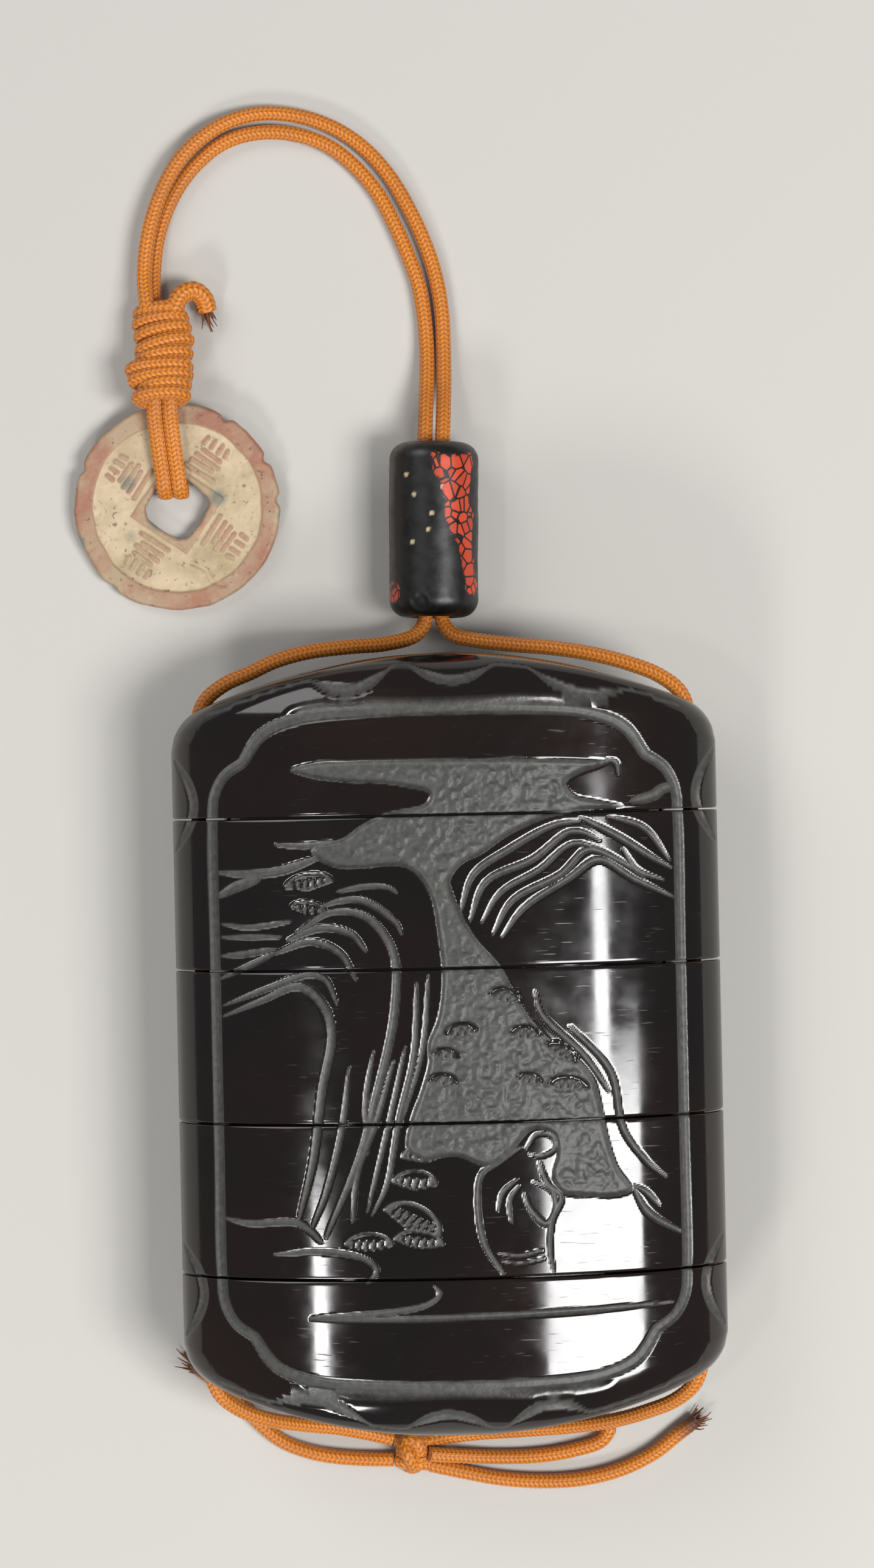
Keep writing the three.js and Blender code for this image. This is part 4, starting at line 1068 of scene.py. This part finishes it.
def bead_piece(material):
    """The bead: a barrel with rounded ends and a wide bore."""
    half = BEAD["length"] / 2
    corner = BEAD["round"]
    straight = np.linspace(half - corner, corner - half, 70)
    bend = np.linspace(0, math.pi / 2, 14)
    radius = BEAD["radius"]
    profile = [(BEAD["bore"], half - 0.5), (BEAD["bore"] + 0.1, half - 0.1),
               (BEAD["bore"] + 0.5, half)]
    profile += [(radius - corner + corner * math.sin(a), half - corner + corner * math.cos(a))
                for a in bend]
    profile += [(radius, y) for y in straight[1:-1]]
    profile += [(radius - corner + corner * math.cos(a), corner - half - corner * math.sin(a))
                for a in bend]
    profile += [(BEAD["bore"] + 0.5, -half), (BEAD["bore"] + 0.1, 0.1 - half),
                (BEAD["bore"], 0.5 - half), (BEAD["bore"], 0), (BEAD["bore"], half - 0.5)]
    reach, level = np.array(profile).T
    turn = np.linspace(0, 2 * math.pi, BEAD_COLUMNS)
    levels = np.broadcast_to(level[:, None], (len(reach), BEAD_COLUMNS))
    rings = np.stack([reach[:, None] * np.cos(turn), levels, reach[:, None] * np.sin(turn)], axis=2)
    flat = rings.reshape(-1, 3)
    from_axis = np.linalg.norm(flat * [1, 0, 1], axis=1, keepdims=True)
    unit = flat / np.maximum(from_axis, 1e-6) * [1, 0, 1]
    outer = (np.hypot(flat[:, 0], flat[:, 2]) > BEAD["bore"] + 0.6).astype(float)
    uneven = 0.05 * lumps(flat, 3.1, 5) + 0.02 * lumps(flat, 1.1, 6) - 0.04
    flat = flat + unit * uneven[:, None] * outer[:, None]
    chip = np.linalg.norm(flat - np.array(BEAD_CHIP), axis=1)
    flat -= unit * (0.25 * eased(1.3 - chip + 0.3 * lumps(flat, 0.9, 8), 0, 0.8) * outer)[:, None]
    # The enamel: a broad patch at the end away from the case, which narrows down the right side.
    x, y, z = flat.T
    left = -0.2 + 0.28 * (8.5 - y) + 0.5 * lumps(flat, 1.6, 9)
    right = 4.4 + 0.5 * lumps(flat, 1.6, 10)
    top = 8.3 + 0.5 * lumps(flat, 1.4, 11)
    patch = (z > 0) * (y < top) * (y > -7.6) * (x > left) * (x < right)
    for px, py, size in ENAMEL_SPOTS:
        patch = np.maximum(patch, (z > 0) * (np.hypot(x - px, (y - py) / 1.4) < size))
    fleck = np.zeros(len(flat))
    for px, py in CREAM_FLECKS:
        fleck = np.maximum(fleck, (z > 0) * eased(0.3 - np.hypot(x - px, y - py), 0, 0.12))
    points = placed(flat.reshape(rings.shape), BEAD["middle"], BEAD["turn"])
    points[:, :, 2] = np.maximum(points[:, :, 2], 0)
    points[:, -1] = points[:, 0]
    values = {"patch": patch.reshape(rings.shape[:2]).astype(float),
              "fleck": fleck.reshape(rings.shape[:2])}
    piece = rolled("ojime_bead_glazed", points, values, angle=80)
    return finished(piece, material, "bead", "ojime_bead")


# Raised strokes of one group on the coin's field: bars side by side and a row of short ticks
# outside them, which spell nothing. Each is (from, to) in x and y before the group is turned.
COIN_STROKES = [
    [(-1.9, 4.7), (1.8, 4.8)], [(-1.6, 5.6), (1.0, 5.7)], [(-1.5, 6.4), (1.5, 6.3)],
    [(-1.1, 7.2), (1.2, 7.1)], [(-1.5, 7.9), (-1.4, 8.7)], [(-0.5, 7.9), (-0.5, 8.8)],
    [(0.5, 7.8), (0.5, 8.8)], [(1.4, 7.9), (1.3, 8.6)],
]
COIN_CHIPS = [(95, 0.5), (62, 0.45), (38, 0.4), (192, 0.35), (265, 0.3)]    # degrees and depth
COIN_CRACK = [(9.6, -4.4), (8.1, -4.9), (6.7, -4.1), (5.0, -4.4)]


def coin_height(places):
    """How far the coin's upper face stands over its field, and how worn each place is."""
    radius = np.linalg.norm(places, axis=1)
    relief = COIN["relief"]
    uneven = COIN["field"] + 0.12 * lumps(places, 2.2, 3)
    rim = eased(radius - uneven, -0.12, 0.18)
    across = np.abs(places).max(axis=1)
    border = eased(COIN["border"] + 0.75 - across, -0.08, 0.12)
    height = relief * np.maximum(rim, 0.85 * border)
    worn = np.maximum(rim, 0.75 * border)
    for quarter in range(4):
        turn = math.pi / 2 * quarter
        c, s = math.cos(turn), math.sin(turn)
        for line in COIN_STROKES:
            x, y = np.array(line).T
            drawn = np.stack([c * x - s * y, s * x + c * y], axis=1)
            where, off, _ = near_line(places, drawn, 0.42)
            stroke = eased(0.3 - off, -0.1, 0.16)
            height[where] = np.maximum(height[where], 0.75 * relief * stroke)
            worn[where] = np.maximum(worn[where], 0.8 * stroke)
    where, off, _ = near_line(places, np.array(COIN_CRACK), 0.5)
    height[where] -= 0.2 * eased(0.4 - off, 0, 0.3)
    height += 0.045 * lumps(places, 1.3, 4) + 0.035 * lumps(places, 0.55, 5)
    return height, worn


def coin_piece(material):
    """The coin: a cast disc with a square-bordered hole that is worn round, chipped at its edge."""
    turn = np.linspace(0, 2 * math.pi, 401)
    circle = np.stack([np.cos(turn), np.sin(turn)], axis=1)
    chips = 0.12 * lumps(circle * 12, 2.6, 1) + 0.06 * lumps(circle * 12, 0.9, 2)
    for at, size in COIN_CHIPS:
        off = np.degrees(np.abs((turn - math.radians(at) + math.pi) % (2 * math.pi) - math.pi))
        chips = chips - size * eased(4.5 - off, 0, 4)
    outer = COIN["radius"] - 0.15 + np.minimum(chips, 0.1)
    square = COIN["border"] / np.maximum(np.abs(circle).max(axis=1), 1e-6)
    hole = 0.4 * COIN["hole"] + 0.6 * np.minimum(square, 1.18 * COIN["hole"])
    hole += 0.1 * lumps(circle * 3, 1.1, 6)
    half = COIN["thickness"] / 2
    base = half - COIN["relief"]
    rows = []
    worn_rows = []
    for share in np.linspace(0, 1, 74):
        reach = hole + (outer - hole) * share
        places = circle * reach[:, None]
        height, worn = coin_height(places)
        rounding = 0.22 * eased(0.3 - np.minimum(reach - hole, outer - reach), 0, 0.3)
        rows.append(np.column_stack([places, base + height - rounding]))
        worn_rows.append(worn)
    for reach, level in ((outer + 0.05, 0.1), (outer + 0.04, -0.3), (outer - 0.15, -half)):
        rows.append(np.column_stack([circle * reach[:, None], np.full(len(turn), level)]))
        worn_rows.append(np.ones(len(turn)))
    for share in np.linspace(1, 0, 20)[1:]:
        reach = hole + (outer - hole) * share
        places = circle * reach[:, None]
        rows.append(np.column_stack([places, 0.03 * lumps(places, 1.5, 7) - half]))
        worn_rows.append(np.full(len(turn), 0.5))
    rows.append(rows[0])
    worn_rows.append(worn_rows[0])
    points = placed(np.stack(rows[::-1]), COIN["middle"], COIN["turn"], COIN["tilt"])
    points[:, :, 2] = np.maximum(points[:, :, 2], 0.01)
    points[:, -1] = points[:, 0]
    piece = rolled("netsuke_coin_cast", points[::-1], {"proud": np.stack(worn_rows)}, angle=70)
    return finished(piece, material, "coin", "netsuke_coin")


# ---------------------------------------------------------------------------------------------
# Operators: one for each piece or group of like pieces, and one for the stage.

class INRO_OT_case(bpy.types.Operator):
    """Builds the five carved sections of the case"""
    bl_idname = "inro.case"
    bl_label = "Case"

    def execute(self, context):
        look = context.scene.inro_case
        material = lacquer_material(look)
        for index in range(len(SECTIONS)):
            section_piece(index, look, material)
        return {"FINISHED"}


class INRO_OT_cords(bpy.types.Operator):
    """Lays the braided cord with its knots, loops and tails"""
    bl_idname = "inro.cords"
    bl_label = "Cords and knots"

    def execute(self, context):
        look = context.scene.inro_cord
        material = silk_material(look)

        def strand(node_name, points, **options):
            piece, line = braid(node_name + "_silk", points, look, **options)
            return finished(piece, material, "silk_cord", node_name), line

        left, left_line = strand("cord_left", ROUTE_LEFT)
        right, right_line = strand("cord_right", ROUTE_RIGHT)
        tail_left, _ = strand("tail_left", ROUTE_TAIL_LEFT, age=[1])
        tail_right, tail_line = strand("tail_right", ROUTE_TAIL_RIGHT, age=[1])
        loop, loop_line = strand("loop_right", ROUTE_LOOP_RIGHT)
        knot_end, _ = strand("netsuke_knot_end", ROUTE_KNOT_END, radius=1.3, thickness=1.1)
        flat = {"thickness": 0.45, "side": (1, 0, 0), "radius": 0.88}
        over = [strand("netsuke_loop_left", through_coin(-0.9), **flat)[0],
                strand("netsuke_loop_right", through_coin(0.9), **flat)[0]]
        wraps = [braid(f"wrap_{i}", wrap_route(*row), look)[0] for i, row in enumerate(KNOT_WRAPS)]
        middle = KNOT["middle"]
        lean = math.tan(math.radians(KNOT["tilt"]))
        core = [(middle[0], middle[1] + y, middle[2] + y * lean) for y in (-4, -2, 1, 4.6)]
        wraps.append(braid("core", core, look, radius=1.7)[0])
        knot = finished(joined(wraps, "netsuke_knot_wraps"), material, "silk_cord", "netsuke_knot")
        low_knot = finished(bottom_knot(look), material, "silk_cord", "bottom_knot")
        cut_ends = {"left": ROUTE_TAIL_LEFT, "right": ROUTE_TAIL_RIGHT, "toggle": ROUTE_KNOT_END}
        for tag, route in cut_ends.items():
            tip = np.array(route[-1])
            tuft = fray(f"fray_{tag}", tip, tip - np.array(route[-2]))
            finished(tuft, material, "silk_cord")
        return {"FINISHED"}


def bottom_knot(look):
    """The small overhand knot that ties the two strands under the case."""
    x, y = -5.4, -48.0
    band = [(x + 1.0 * math.cos(a), y - 0.2 + 1.7 * math.sin(a), 1.75 + 0.95 * math.sin(a + 0.5))
            for a in np.linspace(0, 2 * math.pi, 13)]
    hitch = [(x - 0.9, y + 1.5, 1.1), (x - 0.8, y + 0.9, 2.2), (x - 0.4, y - 0.2, 2.7),
             (x + 0.1, y - 1.3, 2.1), (x + 0.2, y - 1.9, 1.2)]
    cross = [(x - 1.6, y - 1.1, 1.1), (x - 0.6, y - 1.2, 1.6), (x + 0.6, y - 1.3, 1.7),
             (x + 1.8, y - 1.5, 1.2)]
    over = [(x - 1.6, y + 1.2, 1.1), (x - 0.5, y + 1.1, 1.7), (x + 0.7, y + 1.0, 1.7),
            (x + 1.8, y + 1.0, 1.2)]
    routes = (band, hitch, cross, over)
    parts = [braid(f"tie_{i}", route, look)[0] for i, route in enumerate(routes)]
    return joined(parts, "bottom_knot_tie")


class INRO_OT_bead(bpy.types.Operator):
    """Turns the bead that slides on the cord"""
    bl_idname = "inro.bead"
    bl_label = "Bead"

    def execute(self, context):
        bead_piece(bead_material(context.scene.inro_toggle))
        return {"FINISHED"}


class INRO_OT_coin(bpy.types.Operator):
    """Casts the old coin that serves as the toggle"""
    bl_idname = "inro.coin"
    bl_label = "Coin"

    def execute(self, context):
        coin_piece(coin_material(context.scene.inro_toggle))
        return {"FINISHED"}


# Lights in metres and watts: name, middle, width and depth, power, and whether it is turned to
# the case. The others lie flat, so that the polished face mirrors them with straight edges.
LIGHTS = [
    ("window", (0.62, -0.26, 1.0), (0.62, 0.34), 15.0, False),
    ("window_gap", (0.615, -0.06, 1.0), (0.09, 0.14), 1.1, False),
    ("left_strip", (-0.5, -0.2, 1.0), (0.07, 0.13), 1.0, False),
    ("low_lamp", (-0.42, -0.85, 0.72), (0.22, 0.22), 5.0, True),
    ("fill", (-0.9, 0.9, 1.1), (0.9, 0.9), 9.0, True),
]


SKY = {"colour": "C9CCD2", "strength": 0.35}
CAMERA = {"x": -0.8, "y": 29.0, "turn": -1.24, "lens": 89.1, "sensor": 36}    # over the case
FLOOR_WIDTH = 6                                                              # metres


class INRO_OT_stage(bpy.types.Operator):
    """Sets the floor, the lights and the camera"""
    bl_idname = "inro.stage"
    bl_label = "Stage"

    def execute(self, context):
        look = context.scene.inro_stage
        bpy.ops.object.select_all(action="DESELECT")
        bpy.ops.mesh.primitive_plane_add(size=FLOOR_WIDTH, location=(0, 0, 0))
        floor = context.object
        floor.name = "floor"
        floor.data.materials.append(plain_material("matt paper", look.floor, 0.9))
        for name, middle, size, power, is_turned in LIGHTS:
            bpy.ops.object.light_add(type="AREA", location=middle)
            lamp = context.object
            if is_turned:
                lamp.rotation_euler = Vector(middle).to_track_quat("Z", "Y").to_euler()
            lamp.name = name
            lamp.data.shape = "RECTANGLE"
            lamp.data.size, lamp.data.size_y = size
            lamp.data.energy = power
        world = bpy.data.worlds.new("studio")
        world.use_nodes = True
        sky = world.node_tree.nodes["Background"].inputs
        sky["Color"].default_value = shade_of(linear(SKY["colour"]))
        sky["Strength"].default_value = SKY["strength"]
        context.scene.world = world
        context.scene.view_settings.view_transform = "Standard"
        place = (CAMERA["x"] * MM, CAMERA["y"] * MM, look.height)
        turn = math.radians(CAMERA["turn"])
        bpy.ops.object.camera_add(location=place, rotation=(0, 0, turn))
        camera = context.object
        camera.data.sensor_fit = "VERTICAL"
        camera.data.sensor_height = CAMERA["sensor"]
        camera.data.lens = CAMERA["lens"]
        camera.data.clip_start = 0.01
        context.scene.camera = camera
        return {"FINISHED"}


class INRO_PT_panel(bpy.types.Panel):
    """Lists the inro's pieces"""
    bl_label = "Inro"
    bl_idname = "INRO_PT_panel"
    bl_space_type = "VIEW_3D"
    bl_region_type = "UI"
    bl_category = "Inro"

    def draw(self, context):
        for operator in OPERATORS:
            self.layout.operator(operator.bl_idname)


SETTINGS = {
    "inro_case": InroCaseSettings,
    "inro_cord": InroCordSettings,
    "inro_toggle": InroToggleSettings,
    "inro_stage": InroStageSettings,
}
OPERATORS = [INRO_OT_stage, INRO_OT_cords, INRO_OT_case, INRO_OT_bead, INRO_OT_coin]


def register():
    for cls in [*SETTINGS.values(), *OPERATORS, INRO_PT_panel]:
        bpy.utils.register_class(cls)
    for name, cls in SETTINGS.items():
        setattr(bpy.types.Scene, name, bpy.props.PointerProperty(type=cls))


def unregister():
    for name in SETTINGS:
        delattr(bpy.types.Scene, name)
    for cls in [INRO_PT_panel, *reversed(OPERATORS), *reversed(SETTINGS.values())]:
        bpy.utils.unregister_class(cls)


def main():
    register()
    bpy.ops.inro.stage()
    bpy.ops.inro.cords()
    bpy.ops.inro.case()
    bpy.ops.inro.bead()
    bpy.ops.inro.coin()


if __name__ == "__main__":
    main()
